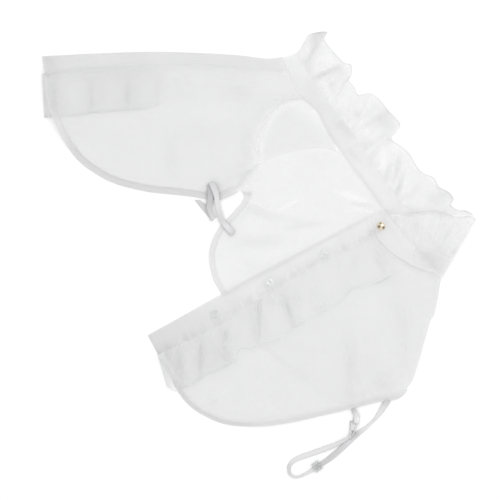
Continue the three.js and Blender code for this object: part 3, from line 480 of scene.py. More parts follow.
def creased(rows):
    """Reads the height and density that rows of slack and creases add at a place."""
    lines = []
    for row in rows:
        roll = dict(zip(CREASE_NAMES, row))
        start = plan(roll["x"], roll["y"])
        run = plan(roll["x2"], roll["y2"]) - start
        lines.append((start.x, start.y, run.x, run.y, roll["width"], roll["height"], roll["dense_and_shade"]))

    def at(place):
        lift = dense_and_shade = 0.0
        for x, y, run_x, run_y, width, height, more in lines:
            away_x, away_y = place.x - x, place.y - y
            share = clamp((away_x * run_x + away_y * run_y) / (run_x * run_x + run_y * run_y))
            apart = math.hypot(away_x - run_x * share, away_y - run_y * share)
            if apart < 2.5 * width:
                weight = math.sin(math.pi * clamp(share, 0.04, 0.96)) ** 0.6 * bump(apart, width)
                lift += weight * height
                dense_and_shade += weight * more
        return lift, dense_and_shade

    return at


def quiver(place, pitch, seed):
    """A slow unevenness from -1 to 1, the same at each run."""
    x, y = place.x / pitch + seed, place.y / pitch - seed
    across = math.sin(x + 1.7 * math.sin(0.63 * y))
    down = math.sin(0.8 * y + 1.3 * math.sin(0.71 * x))
    return 0.5 * (across + down)


# Edges and heights that several pieces share.
far_neckline = edge(FAR_NECKLINE)
near_neckline = edge(NEAR_NECKLINE)
far_band_top = edge(FAR_BAND_TOP)
near_band_top = edge(NEAR_BAND_TOP)
right_seam = edge(RIGHT_SEAM)
left_seam = edge(LEFT_SEAM)
back_hem = edge(BACK_HEM)
left_hem = edge(LEFT_HEM)
right_hem = edge(RIGHT_HEM)
left_placket_end = plan(*LEFT_PLACKET_EDGE[0])
along_left_placket = (plan(*LEFT_PLACKET_EDGE[-1]) - left_placket_end).normalized()
right_free = edge(RIGHT_PLACKET_EDGE)
left_free = beside(edge(LEFT_PLACKET_EDGE), -0.9)
NECK_FOLD_TOP = plan(0, 213.5).y


def left_height(place):
    """The left front lies on the table at its lower end and on the back panel further up."""
    run = (place - left_placket_end).dot(along_left_placket)
    return mix(ON_TABLE, ON_BACK, through(LEFT_CLIMB, run))


def right_height(place, u):
    """The right front rides on its own ruffle and comes down to the table at the hem."""
    away = right_seam(u).y - place.y
    swell = mix(RIGHT_PLACKET["seam"], RIGHT_FRONT_LIFT, through(RIGHT_SWELL, away))
    over_ruffle = mix(swell, ON_TABLE, through(RIGHT_FALL, away))
    return mix(over_ruffle, PLEAT_TOP, through(PLEAT_BLEND, u))


def under_left(place):
    """From 0 in the open to 1 below the left front and the folded-back neck."""
    slope = along_left_placket.y / along_left_placket.x
    cover = min(left_placket_end.y + slope * (place.x - left_placket_end.x), NECK_FOLD_TOP)
    return through(HIDE_BLEND, cover - place.y)


def gathers(distance, pitch):
    """Uneven puckers along a seam, from 0 to 1, by the distance along it."""
    wave = distance / pitch * 2 * math.pi
    return 0.5 + 0.5 * math.sin(wave + 1.9 * math.sin(0.31 * wave) + 0.8 * math.sin(1.73 * wave))


def far_band_height(u, v, flat=None):
    seam = mix(PLEAT_TOP, TAPE / 2, through(BAND_SEAM_FALL, u))
    top = mix(FAR_BAND_FRONT_TOP, TAPE / 2, through(BAND_TOP_FALL, u))
    return mix(seam, top, v)


def near_band_height(u, v, flat=None):
    return mix(NEAR_BAND["seam"], mix(NEAR_BAND["fold_top"], NEAR_BAND["front_top"], u), v)


def hem_on_back(u, v, flat):
    return TAPE / 2


def hem_on_left(u, v, flat):
    return left_height(flat) + BINDING_LIFT


def hem_on_right(u, v, flat):
    return max(right_height(right_hem(u), u), TAPE / 2)


def right_placket_height(u, v, flat):
    front = mix(RIGHT_PLACKET["seam"], RIGHT_PLACKET["edge"], v)
    collar_end = mix(PLEAT_TOP, RIGHT_PLACKET["collar_edge"], v)
    return mix(front, collar_end, through(RIGHT_PLACKET_CLIMB, u))


def left_placket_height(u, v, flat):
    return left_height(flat) + PLACKET_LIFT


class Nodes:
    """A material's node tree, with its shader ready to be fed."""

    def __init__(self, name):
        self.material = bpy.data.materials.new(name)
        self.material.use_nodes = True
        self.tree = self.material.node_tree
        self.shader = self.tree.nodes["Principled BSDF"]

    def add(self, kind, **settings):
        node = self.tree.nodes.new(kind)
        for key, value in settings.items():
            setattr(node, key, value)
        return node

    def link(self, source, target):
        self.tree.links.new(source, target)

    def math(self, operation, *terms):
        node = self.add("ShaderNodeMath", operation=operation)
        for socket, value in zip(node.inputs, terms):
            if isinstance(value, (int, float)):
                socket.default_value = value
            else:
                self.link(value, socket)
        return node.outputs[0]

    def attribute(self, name):
        """A number that the mesh's points carry."""
        return self.add("ShaderNodeAttribute", attribute_name=name).outputs["Fac"]

    def feed(self, sockets):
        """Links or sets the shader's own sockets."""
        for name, value in sockets.items():
            if isinstance(value, (int, float)):
                self.shader.inputs[name].default_value = value
            else:
                self.link(value, self.shader.inputs[name])

    def shade(self, factor, dark, light):
        """A colour that runs from dark to light with a factor."""
        ramp = self.add("ShaderNodeValToRGB")
        for stop, colour in zip(ramp.color_ramp.elements, (dark, light)):
            stop.color = (*colour, 1)
        self.link(factor, ramp.inputs["Fac"])
        return ramp.outputs["Color"]

    def noise(self, scale, detail):
        node = self.add("ShaderNodeTexNoise")
        node.inputs["Scale"].default_value = scale
        node.inputs["Detail"].default_value = detail
        place = self.add("ShaderNodeTexCoord").outputs["Object"]
        self.link(place, node.inputs["Vector"])
        return node.outputs["Fac"]

    def bands(self, direction, pitch):
        """Waves across the cloth's own map, a pitch apart in metres."""
        wave = self.add("ShaderNodeTexWave", wave_type="BANDS", bands_direction=direction)
        wave.inputs["Scale"].default_value = 1
        uv = self.add("ShaderNodeUVMap", uv_map="cloth")
        mapping = self.add("ShaderNodeMapping")
        share = math.pi / 10 / pitch
        mapping.inputs["Scale"].default_value = (share, share, 1)
        self.link(uv.outputs["UV"], mapping.inputs["Vector"])
        self.link(mapping.outputs["Vector"], wave.inputs["Vector"])
        return wave

    def threads(self, pitch):
        """A plain weave, from 0 between the threads to 1 on them."""
        waves = [self.bands(direction, pitch) for direction in ("X", "Y")]
        for wave in waves:
            wave.inputs["Distortion"].default_value = 0.6
            wave.inputs["Detail"].default_value = 1
        return self.math("MAXIMUM", *(wave.outputs["Fac"] for wave in waves))

    def bumped(self, height, strength, distance):
        bump_node = self.add("ShaderNodeBump")
        bump_node.inputs["Strength"].default_value = strength
        bump_node.inputs["Distance"].default_value = distance
        self.link(height, bump_node.inputs["Height"])
        self.feed({"Normal": bump_node.outputs["Normal"]})


def darker(colour, share):
    return [channel * share for channel in colour]


def organza_material(name, colour, cover, pitch, gather_shade_rate):
    """Sheer cloth: cover is the share of light that one layer stops. Its colour is also painted
    darker with the layers, as shade where it is gathered, the faster the higher the last argument."""
    nodes = Nodes(name)
    layers = nodes.attribute("layers")
    weave = nodes.threads(pitch)
    uneven = nodes.math("MULTIPLY_ADD", nodes.noise(28, 3), 0.3, 0.85)
    threaded = nodes.math("MULTIPLY_ADD", weave, 0.3, 0.82)
    depth = nodes.math("MULTIPLY", nodes.math("MULTIPLY", layers, uneven), threaded)
    # Painted shade: the colour darkens with the layers, where the cloth is folded and gathered.
    painted_gather_shade = nodes.math("MULTIPLY", nodes.math("POWER", layers, gather_shade_rate), 0.16)
    painted_fold_shade = nodes.math("ADD", painted_gather_shade, nodes.math("MULTIPLY", weave, -0.04))
    nodes.feed({
        "Alpha": nodes.math("SUBTRACT", 1, nodes.math("POWER", 1 - cover, depth)),
        "Base Color": nodes.shade(painted_fold_shade, colour, darker(colour, 0.4)),
        "Roughness": 0.5, "Sheen Weight": 0.25, "Specular IOR Level": 0.35,
    })
    nodes.bumped(weave, 0.25, 0.0002)


def elastic_material(name, colour, pitch):
    """Woven elastic with ribs across it, its colour painted darker or lighter as shade and
    highlights.
    """
    nodes = Nodes(name)
    ribbed = nodes.bands("Y", pitch).outputs["Fac"]
    painted_strap_shade = nodes.math("MULTIPLY", nodes.attribute("layers"), 0.36)
    woven = nodes.math(
        "MULTIPLY_ADD", nodes.math("MULTIPLY", ribbed, nodes.noise(900, 2)), -0.3, painted_strap_shade,
    )
    nodes.feed({
        "Base Color": nodes.shade(woven, darker(colour, 1.22), darker(colour, 0.4)),
        "Roughness": 0.55, "Sheen Weight": 0.2,
    })
    nodes.bumped(ribbed, 0.5, 0.0002)


def plastic_material(name, colour):
    """Clear plastic: thin where one looks straight at it and denser at its edges; attributes make
    it darker and denser, as painted shade in the snaps' rings, and paint highlights on it.
    """
    nodes = Nodes(name)
    haze = nodes.noise(160, 2)
    ring, painted_glint = nodes.attribute("ring"), nodes.attribute("painted_glint")
    depth = nodes.math("ADD", ring, nodes.math("MULTIPLY", haze, 0.1))
    rim = nodes.add("ShaderNodeLayerWeight")
    rim.inputs["Blend"].default_value = 0.35
    clear = nodes.math("MULTIPLY_ADD", rim.outputs["Facing"], 0.5, 0.12)
    edged = nodes.math("MULTIPLY_ADD", ring, 0.6, clear)
    nodes.feed({
        "Alpha": nodes.math("MULTIPLY_ADD", painted_glint, 0.7, edged),
        "Base Color": nodes.shade(depth, colour, darker(colour, 0.3)),
        "Roughness": nodes.math("MULTIPLY", haze, 0.22),
        "IOR": 1.49, "Coat Weight": 0.5, "Coat Roughness": 0.05,
    })


def gold_material(name, colour):
    nodes = Nodes(name)
    wear = nodes.noise(420, 4)
    # Dark reflections are painted into the metal's colour from an attribute, on top of the uneven
    # tone of its wear.
    depth = nodes.math("MULTIPLY_ADD", wear, 0.12, nodes.attribute("painted_reflection"))
    nodes.feed({
        "Base Color": nodes.shade(depth, colour, darker(colour, 0.07)),
        "Roughness": nodes.math("MULTIPLY", wear, 0.3), "Metallic": 1,
    })
    nodes.bumped(wear, 0.05, 0.0002)


def table_material(name, colour):
    nodes = Nodes(name)
    nodes.feed({
        "Base Color": nodes.shade(nodes.noise(14, 4), darker(colour, 0.995), colour),
        "Roughness": 0.9, "Specular IOR Level": 0.1,
    })


def thread_material(name, colour):
    nodes = Nodes(name)
    nodes.feed({
        "Base Color": nodes.shade(nodes.noise(2400, 2), darker(colour, 0.85), colour),
        "Roughness": 0.6,
    })


def added(name, data):
    """A new object in the scene."""
    thing = bpy.data.objects.new(name, data)
    bpy.context.scene.collection.objects.link(thing)
    return thing


def meshed(name, bm, material):
    """A new object of a mesh in metres, in a finish."""
    mesh = bpy.data.meshes.new(name)
    bm.to_mesh(mesh)
    bm.free()
    mesh.materials.append(bpy.data.materials[material])
    return added(name, mesh)


def finished(name, bm, material, nodes, slot):
    """Makes the piece from its mesh in millimetres, in a finish, and hides the parts it stands for.
    """
    bmesh.ops.scale(bm, vec=(MM, MM, MM), verts=bm.verts)
    for face in bm.faces:
        face.smooth = True
    piece = meshed(name, bm, material)
    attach(piece, BODY)
    if nodes:
        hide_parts(*nodes)
    return piece


def cloth_grid(bm, columns, rows, place, size):
    """Adds one grid of cloth. place gives the point and the layers at a pair of shares, and size
    is the flat length and width of the stretch in millimetres. The layers also set the painted
    shade in the finishes' colours."""
    uv = bm.loops.layers.uv.get("cloth") or bm.loops.layers.uv.new("cloth")
    layers = bm.verts.layers.float.get("layers") or bm.verts.layers.float.new("layers")
    made = bmesh.ops.create_grid(bm, x_segments=columns, y_segments=rows, size=0.5)
    shares = {}
    for vert in made["verts"]:
        shares[vert] = (vert.co.x + 0.5, vert.co.y + 0.5)
        vert.co, vert[layers] = place(*shares[vert])
    for face in {face for vert in made["verts"] for face in vert.link_faces}:
        for loop in face.loops:
            u, v = shares[loop.vert]
            loop[uv].uv = (u * size[0] * MM, v * size[1] * MM)
    return made["verts"]


def cloth_piece(name, node, columns, rows, place, size, material, slot="organza"):
    """A piece of one grid of cloth, which stands for a node."""
    bm = bmesh.new()
    cloth_grid(bm, columns, rows, place, size)
    return finished(name, bm, material, [node], slot)


def spun(profile, base, steps):
    """A round piece: a profile of radius and height spun about the upright line through base."""
    bm = bmesh.new()
    x, y, z = base
    verts = [bm.verts.new((x + r, y, z + h)) for r, h in profile]
    edges = [bm.edges.new(pair) for pair in zip(verts, verts[1:])]
    bmesh.ops.spin(
        bm, geom=verts + edges, cent=base, axis=(0, 0, 1), dvec=(0, 0, 0), angle=2 * math.pi,
        steps=steps, use_merge=True,
    )
    bmesh.ops.remove_doubles(bm, verts=bm.verts, dist=0.001)
    bmesh.ops.recalc_face_normals(bm, faces=bm.faces)
    return bm


def strip(name, node, inner, outer, height, columns, layers, material, slot):
    """A narrow strip of cloth between two edges."""

    def place(u, v):
        flat = inner(u).lerp(outer(u), v)
        return raised(flat, height(u, v, flat)), layers(u, v, flat)

    size = (length_of(inner), (inner(0.5) - outer(0.5)).length)
    return cloth_piece(name, node, columns, 10, place, size, material, slot)


def webbing(name, node, lines):
    """Woven straps along lines of grid places, heights and widths: flat tubes with closed ends."""
    bm = bmesh.new()
    painted_strap_shade = creased(STRAP_PAINTED_SHADE)
    for line in lines:
        last = len(line) - 1
        xs, ys, zs, widths = zip(*line)
        middle = edge(list(zip(xs, ys)))
        length = length_of(middle)
        left, right = beside(middle, -0.5), beside(middle, 0.5)

        def place(u, v):
            across = 2 * v if v < 0.5 else 2 - 2 * v
            ends = clamp(min(u, 1 - u) * length / STRAP) ** 0.5
            half = STRAP / 2 * max(1 - (2 * across - 1) ** 6, 0) ** 0.5 * ends
            side = 1 if v < 0.5 else -1
            share = (2 * across - 1) * along(widths, u * last)
            flat = middle(u) + (right(u) - left(u)) * (share / 2)
            # The strap's colour carries painted shade and highlights from its table.
            return raised(flat, along(zs, u * last) + side * half), 1 + painted_strap_shade(flat)[1]

        cloth_grid(bm, max(12, round(length)), 16, place, (length, 2 * STRAP_WIDTH))
    bmesh.ops.remove_doubles(bm, verts=bm.verts, dist=WELD)
    bmesh.ops.recalc_face_normals(bm, faces=bm.faces)
    finished(name, bm, "woven elastic", [node], "elastic")


def ruffle_place(seam, folds, creases, base, seam_height, depth, rest_height=lambda tip: 0):
    """A gathered strip from its seam to its free edge, with fine gathers at the seam."""
    columns = {name: [row[k] for row in folds] for k, name in enumerate(FOLD_NAMES)}
    sizes = bpy.context.scene.collar_sizes
    pitch, gather = sizes.gather_pitch / MM, sizes.gather_height / MM
    hem_width = sizes.hem_width / MM
    length = length_of(seam)
    slack = creased(creases)

    def place(u, v):
        row = u * (len(folds) - 1)
        at, x, y, rise = (along(columns[name], row) for name in ("at", "x", "y", "rise"))
        root = seam(at)
        tip = plan(x, y)
        flat = root.lerp(tip, v)
        low = seam_height(at, root)
        high = rest_height(tip) + rise
        wave = 2 * math.pi * at * length / pitch
        pucker = math.sin(wave + 1.1 * math.sin(0.37 * wave)) * (1 - v) ** 3
        lift, crease = slack(flat)
        z = mix(low, high, v ** 0.8) + clamp(v / EDGE_SHARE) * (gather * pucker + lift)
        z += 0.12 * v * quiver(flat, 7, 2)
        nearest = int(clamp(round(row), 0, len(folds) - 1))
        crest = 0.35 * bump(row - nearest, 0.25) * columns["dense_and_shade"][nearest]
        hem = clamp(1.6 - 1.6 * (1 - v) * depth / hem_width) * (1 + 0.4 * quiver(flat, 6, 9))
        seamed = 0.35 * gathers(at * length, 15) * bump(v, 0.2)
        # More layers at the fold crests, the rolled hem and the gathers make the cloth denser and
        # also paint shade into its colour; creases with fewer layers paint highlights.
        dense_and_shade = base(u) + crest * clamp(0.35 + v) + crease + 1.2 * hem + seamed + 0.04 * pucker
        return raised(flat, z), max(dense_and_shade, 0.02)

    return place


def folded_back(far, near, far_share=0.66, turn_share=0.05, settle=0.08):
    """A strip that runs along far, turns over at the shoulder crease and runs back along near."""
    outward = Vector((math.cos(FOLD_TURN), math.sin(FOLD_TURN), 0))

    def place(u, v):
        if u <= far_share:
            return far(u / far_share, v)
        low, dense_and_shade = far(1, v)
        back = (u - far_share - turn_share) / (1 - far_share - turn_share)
        high, near_dense = near(max(back, 0), v)
        if back > 0:
            start = near(0, v)[0]
            shift = Vector((low.x - start.x, low.y - start.y, 0)) * (1 - through((0, settle), back))
            return high + shift, near_dense
        angle = math.pi * (u - far_share) / turn_share
        radius = (high.z - low.z) / 2
        turned = low + outward * (radius * math.sin(angle))
        return turned + Vector((0, 0, radius * (1 - math.cos(angle)))), dense_and_shade

    return place


class CollarSizes(bpy.types.PropertyGroup):
    gather_pitch: FloatProperty(
        name="Gather pitch", description="Distance between the fine gathers at a ruffle's seam",
        default=0.0085, unit="LENGTH",
    )
    gather_height: FloatProperty(
        name="Gather height", description="How far the fine gathers stand up at the seam",
        default=0.00012, unit="LENGTH",
    )
    hem_width: FloatProperty(
        name="Ruffle hem", description="Width of the rolled hem on a ruffle's free edge",
        default=0.0024, unit="LENGTH",
    )
    weave_pitch: FloatProperty(
        name="Weave pitch", description="Distance between the threads of the organza",
        default=0.0006, unit="LENGTH",
    )
    rib_pitch: FloatProperty(
        name="Rib pitch", description="Distance between the ribs of the elastic",
        default=0.0011, unit="LENGTH",
    )
    stitch_length: FloatProperty(
        name="Stitch length", description="Length of one stitch and its gap along the seams",
        default=0.0028, unit="LENGTH",
    )


class CollarLooks(bpy.types.PropertyGroup):
    organza_colour: FloatVectorProperty(
        name="Organza", description="Colour of the organza's threads", subtype="COLOR",
        default=(0.78, 0.78, 0.79), min=0, max=1,
    )
    front_cover: FloatProperty(
        name="Front cover", description="Share of light that one layer of the fronts stops",
        default=0.44, min=0, max=1, subtype="FACTOR",
    )
    back_cover: FloatProperty(
        name="Back cover", description="Share of light that the back panel stops",
        default=0.32, min=0, max=1, subtype="FACTOR",
    )
    ruffle_cover: FloatProperty(
        name="Ruffle cover", description="Share of light that one layer of a ruffle stops",
        default=0.31, min=0, max=1, subtype="FACTOR",
    )
    elastic_colour: FloatVectorProperty(
        name="Elastic", description="Colour of the woven elastic", subtype="COLOR",
        default=(0.70, 0.70, 0.71), min=0, max=1,
    )
    thread_colour: FloatVectorProperty(
        name="Thread", description="Colour of the sewing thread", subtype="COLOR",
        default=(0.8, 0.8, 0.81), min=0, max=1,
    )
    gold_colour: FloatVectorProperty(
        name="Button", description="Colour of the ball button's metal", subtype="COLOR",
        default=(0.96, 0.82, 0.64), min=0, max=1,
    )
    clear_colour: FloatVectorProperty(
        name="Clear plastic", description="Tint of the snaps, slider and hook", subtype="COLOR",
        default=(0.93, 0.95, 0.95), min=0, max=1,
    )


class StageSizes(bpy.types.PropertyGroup):
    camera_height: FloatProperty(
        name="Camera height", description="Height of the camera above the cloth",
        default=1.3, unit="LENGTH",
    )
    view_width: FloatProperty(
        name="View width", description="Width of table that the picture takes in",
        default=0.55, unit="LENGTH",
    )
    key_power: FloatProperty(
        name="Key light", description="Power of the large soft light", default=11.0, unit="POWER",
    )
    fill_power: FloatProperty(
        name="Fill light", description="Power of the weaker light opposite", default=6.1,
        unit="POWER",
    )
    room_light: FloatProperty(
        name="Room light", description="Strength of the even light from all round",
        default=0.93, min=0,
    )
    table_colour: FloatVectorProperty(
        name="Table", description="Colour of the pale table", subtype="COLOR",
        default=(0.93, 0.93, 0.93), min=0, max=1,
    )


class COLLAR_OT_stage(bpy.types.Operator):
    """Set the table, the soft lights and the camera straight above"""

    bl_idname = "collar.stage"
    bl_label = "Stage"

    def execute(self, context):
        stage = context.scene.collar_stage
        table_material("pale table", stage.table_colour)
        bm = bmesh.new()
        bmesh.ops.create_grid(bm, x_segments=1, y_segments=1, size=4)
        meshed("table_top", bm, "pale table")

        for name, power, size, at in (
            ("key_light", stage.key_power, 1.4, (1.1, 0.9, 1.7)),
            ("fill_light", stage.fill_power, 1.8, (-1.2, -0.9, 1.9)),
        ):
            light = bpy.data.lights.new(name, "AREA")
            light.energy = power
            light.size = size
            turn = Vector(at).to_track_quat("Z", "Y").to_matrix().to_4x4()
            added(name, light).matrix_world = Matrix.Translation(at) @ turn

        world = bpy.data.worlds.new("soft room")
        world.use_nodes = True
        background = world.node_tree.nodes["Background"]
        background.inputs["Color"].default_value = (1, 1, 1, 1)
        background.inputs["Strength"].default_value = stage.room_light
        context.scene.world = world
        context.scene.view_settings.view_transform = "Standard"
        # Light goes down and up through every layer of sheer cloth.
        context.scene.cycles.transparent_max_bounces = 32

        camera = bpy.data.cameras.new("camera")
        camera.sensor_width = 36
        camera.lens = camera.sensor_width * stage.camera_height / stage.view_width
        camera.clip_end = 20
        eye = added("camera", camera)
        centre = plan(*PLAN_CENTRE) * MM
        eye.location = (centre.x, centre.y, stage.camera_height)
        context.scene.camera = eye
        return {"FINISHED"}


class COLLAR_OT_finishes(bpy.types.Operator):
    """Make the finishes that the pieces share"""

    bl_idname = "collar.finishes"
    bl_label = "Finishes"

    def execute(self, context):
        looks, sizes = context.scene.collar_looks, context.scene.collar_sizes
        pitch = sizes.weave_pitch
        organza_material("sheer organza", looks.organza_colour, looks.front_cover, pitch, 1)
        organza_material("back organza", looks.organza_colour, looks.back_cover, pitch, 1)
        organza_material("ruffle organza", looks.organza_colour, looks.ruffle_cover, pitch, 1.35)
        elastic_material("woven elastic", looks.elastic_colour, sizes.rib_pitch)
        thread_material("white thread", looks.thread_colour)
        plastic_material("clear plastic", looks.clear_colour)
        gold_material("polished gold", looks.gold_colour)
        return {"FINISHED"}


class COLLAR_OT_bindings(bpy.types.Operator):
    """Bind the hems with narrow folded strips"""

    bl_idname = "collar.bindings"
    bl_label = "Hem Bindings"

    def execute(self, context):
        def left_bound(u, v, flat):
            shown = mix(0.4, 1, through((0.06, 0.13), u))
            return shown * (1.2 + 0.9 * through((0.22, 0.45), v) + 0.2 * bump(1 - v, 0.12))

        def right_bound(u, v, flat):
            shown = mix(0.3, 1, through((0.1, 0.16), u))
            return shown * (1.75 + 0.15 * bump(v - 0.15, 0.1) + 0.6 * bump(1 - v, 0.15))

        def back_bound(u, v, flat):
            plain = 1.45 + 0.25 * bump(v - 0.12, 0.1) + 0.3 * bump(1 - v, 0.12)
            corner = mix(0.7, 1.05, through((0.01, 0.035), u))
            shown = mix(corner, plain, through((0.058, 0.08), u)) + 1.1 * bump(u - 0.067, 0.006)
            return shown * (1 - HIDDEN_BINDING * under_left(flat))

        def left_width(share):
            return BINDING_WIDTH * clamp((1 - share) / 0.045) ** 0.5

        def back_width(share):
            return BINDING_WIDTH + 0.6 + 10 * bump(share - 0.04, 0.026)

        for side, hem, inset, width, height, layers, material in (
            ("back", back_hem, 0, back_width, hem_on_back, back_bound, "back organza"),
            ("left", left_hem, 0, left_width, hem_on_left, left_bound, "sheer organza"),
            ("right", right_hem, -1, BINDING_WIDTH, hem_on_right, right_bound, "sheer organza"),
        ):
            node = side + "_hem_binding"
            strip(
                node + "_cloth", node, beside(hem, inset), beside(hem, width), height, 260, layers,
                material, "binding",
            )
        return {"FINISHED"}


class COLLAR_OT_back_panel(bpy.types.Operator):
    """Lay the back panel on the table, inside up"""

    bl_idname = "collar.back_panel"
    bl_label = "Back Panel"

    def execute(self, context):
        neck = beside(edge(BACK_NECK), -2 * SEAM)
        sides = (neck, back_hem, edge(BACK_RIGHT_SHOULDER), edge(BACK_LEFT_SHOULDER))
        slack = creased(BACK_CREASES)

        def place(u, v):
            flat = stretched(sides, u, v)
            height, dense_and_shade = slack(flat)
            inner = inside(u, v)
            z = CLOTH / 2 + inner * (height + 0.2 * quiver(flat, 16, 1))
            dense_and_shade += 0.2 * bump(v, 0.018) - 0.35 * bump(u, 0.02)
            return raised(flat, z), (1 + inner * dense_and_shade) * (1 - HIDDEN_BACK * under_left(flat))

        size = (length_of(back_hem), 200)
        panel = cloth_piece("back_cloth", "back_panel", 140, 80, place, size, "back organza")
        return {"FINISHED"}


class COLLAR_OT_left_front(bpy.types.Operator):
    """Lay the left front on the back panel, outside up"""

    bl_idname = "collar.left_front"
    bl_label = "Left Front"

    def execute(self, context):
        inner_end = joined(edge(LEFT_NECK), edge(LEFT_SHOULDER), LEFT_NECK_SHARE)
        sides = (left_seam, left_hem, edge([LEFT_SEAM[0], LEFT_HEM[0]]), inner_end)
        slack = creased(LEFT_CREASES)

        def place(u, v):
            flat = stretched(sides, u, v)
            height, dense_and_shade = slack(flat)
            inner = inside(u, v)
            z = left_height(flat) + inner * (height + 0.2 * quiver(flat, 18, 4))
            crease = 0.9 * bump(1 - u, 0.008) + 0.6 * bump(u, 0.02)
            return raised(flat, z), 1 + inner * dense_and_shade + crease

        panel = cloth_piece(
            "left_front_cloth", "left_front_panel", 150, 70, place, (length_of(left_seam), 130),
            "sheer organza",
        )
        return {"FINISHED"}


class COLLAR_OT_right_front(bpy.types.Operator):
    """Lay the right front inside up, with its pleat at the shoulder"""

    bl_idname = "collar.right_front"
    bl_label = "Right Front"

    def execute(self, context):
        pleat_fold, hidden_fold = edge(PLEAT_FOLD), edge(PLEAT_HIDDEN_FOLD)
        inner_end = joined(edge(RIGHT_NECK), pleat_fold, PLEAT_FROM)
        sides = (right_seam, right_hem, edge([RIGHT_SEAM[0], RIGHT_HEM[0]]), inner_end)
        slack = creased(RIGHT_CREASES)

        def place(u, v):
            flat = stretched(sides, u, v)
            height, dense_and_shade = slack(flat)
            inner = inside(u, v)
            z = right_height(flat, u) + inner * (height + 0.2 * quiver(flat, 17, 7))
            thinned = 0.45 * bump(1 - u, 0.014) * through((PLEAT_FROM, 0.4), v)
            return raised(flat, z), 1 + inner * dense_and_shade - thinned

        neck = beside(lambda share: far_neckline(mix(*PLEAT_NECK, share)), SEAM / 2)
        shoulder = beside(edge(FRONT_RIGHT_SHOULDER), -6 * SEAM)
        seam = joined(neck, shoulder, PLEAT_NECK_SHARE)
        radius = PLEAT_RISE / 2
        below = PLEAT_TOP - 2 * PLEAT_RISE

        folds = [
            (pleat_fold(share), (pleat_fold(share) - hidden_fold(share)).normalized())
            for share in (k / FOLD_STEPS for k in range(FOLD_STEPS + 1))
        ]

        def past_fold(flat):
            nearest, across = min(folds, key=lambda fold: (flat - fold[0]).length_squared)
            return math.copysign((flat - nearest).length, (flat - nearest).dot(across))

        def layers_of_pleat(share):
            fold, hidden, end = pleat_fold(share), hidden_fold(share), seam(share)
            outward = (fold - hidden).normalized()
            points = [place(1, mix(PLEAT_FROM, 1, share))]
            # The turns of both folds are left nearly clear; on the fold that shows, this paints a
            # light line as a highlight.
            for centre, side, high in ((fold, 1, PLEAT_TOP), (hidden, -1, PLEAT_TOP - PLEAT_RISE)):
                for k in range(TURN_STEPS + 1):
                    angle = math.pi * k / TURN_STEPS
                    flat = centre + outward * (side * radius * math.sin(angle))
                    z = high - radius + radius * math.cos(angle)
                    points.append((raised(flat, z), 0.05))
            points.pop(1)
            for k in range(1, PLEAT_STEPS + 1):
                flat = hidden.lerp(end, k / PLEAT_STEPS)
                beyond = past_fold(flat)
                shown = mix(0.05, 0.62, through((-4.5, 1), beyond))
                shown += 0.32 * through((2, 12), beyond) * through((0.05, 0.3), share)
                rim = 0.3 * bump(1 - k / PLEAT_STEPS, 0.045)
                points.append((raised(flat, below + 0.12 * quiver(flat, 12, 3)), shown - rim))
            return points

        pleat_rows = round(PANEL_ROWS * (1 - PLEAT_FROM))
        lines = [layers_of_pleat(k / pleat_rows) for k in range(pleat_rows + 1)]
        last = len(lines[0]) - 1
        bm = bmesh.new()
        cloth_grid(bm, 150, PANEL_ROWS, place, (length_of(right_seam), 130))
        cloth_grid(
            bm, last, pleat_rows,
            lambda u, v: lines[round(v * pleat_rows)][round(u * last)], (110, 110),
        )
        bmesh.ops.remove_doubles(bm, verts=bm.verts, dist=WELD)
        panel = finished(
            "right_front_cloth", bm, "sheer organza", ["right_front_panel"], "organza",
        )
        return {"FINISHED"}


class COLLAR_OT_plackets(bpy.types.Operator):
    """Fold the plackets along the two front edges"""

    bl_idname = "collar.plackets"
    bl_label = "Plackets"

    def execute(self, context):
        # Both plackets are painted darker in blotches along their seams, as the shade of the
        # gathers.
        def right_doubled(u, v, flat):
            seamed = mix(0.9, 0.25, through((0.3, 0.5), u)) * bump(v, 0.16)
            dots = 1.2 * gathers(u * PLACKET_LENGTH, 4) * bump(v, 0.12) * bump(u - 0.72, 0.08)
            edges = bump(u, 0.05) + 0.7 * bump(1 - v, 0.07)
            return 1.25 + edges + seamed + dots + 0.1 * quiver(flat, 9, 5)

        def left_doubled(u, v, flat):
            seamed = 0.9 * gathers(u * PLACKET_LENGTH, 14) * bump(v - 0.08, 0.22)
            ends = 1.3 * bump(u, 0.006) + 0.25 * bump(u, 0.1)
            base = mix(1.3, 0.93, through((0.1, 0.6), u))
            return base + ends + seamed + 0.15 * bump(1 - v, 0.08) + 0.08 * quiver(flat, 9, 5)

        for name, seam, free, lift, doubled, flat in (
            (
                "right_placket", edge(RIGHT_PLACKET_SEAM), right_free, right_placket_height,
                right_doubled, (0.0165, 0.27),
            ),
            (
                "left_placket", edge(LEFT_PLACKET_SEAM), left_free, left_placket_height,
                left_doubled, (0.0235, 0.28),
            ),
        ):
            piece = strip(
                name + "_cloth", name, seam, free, lift, 280, doubled, "sheer organza", "organza",
            )
        return {"FINISHED"}


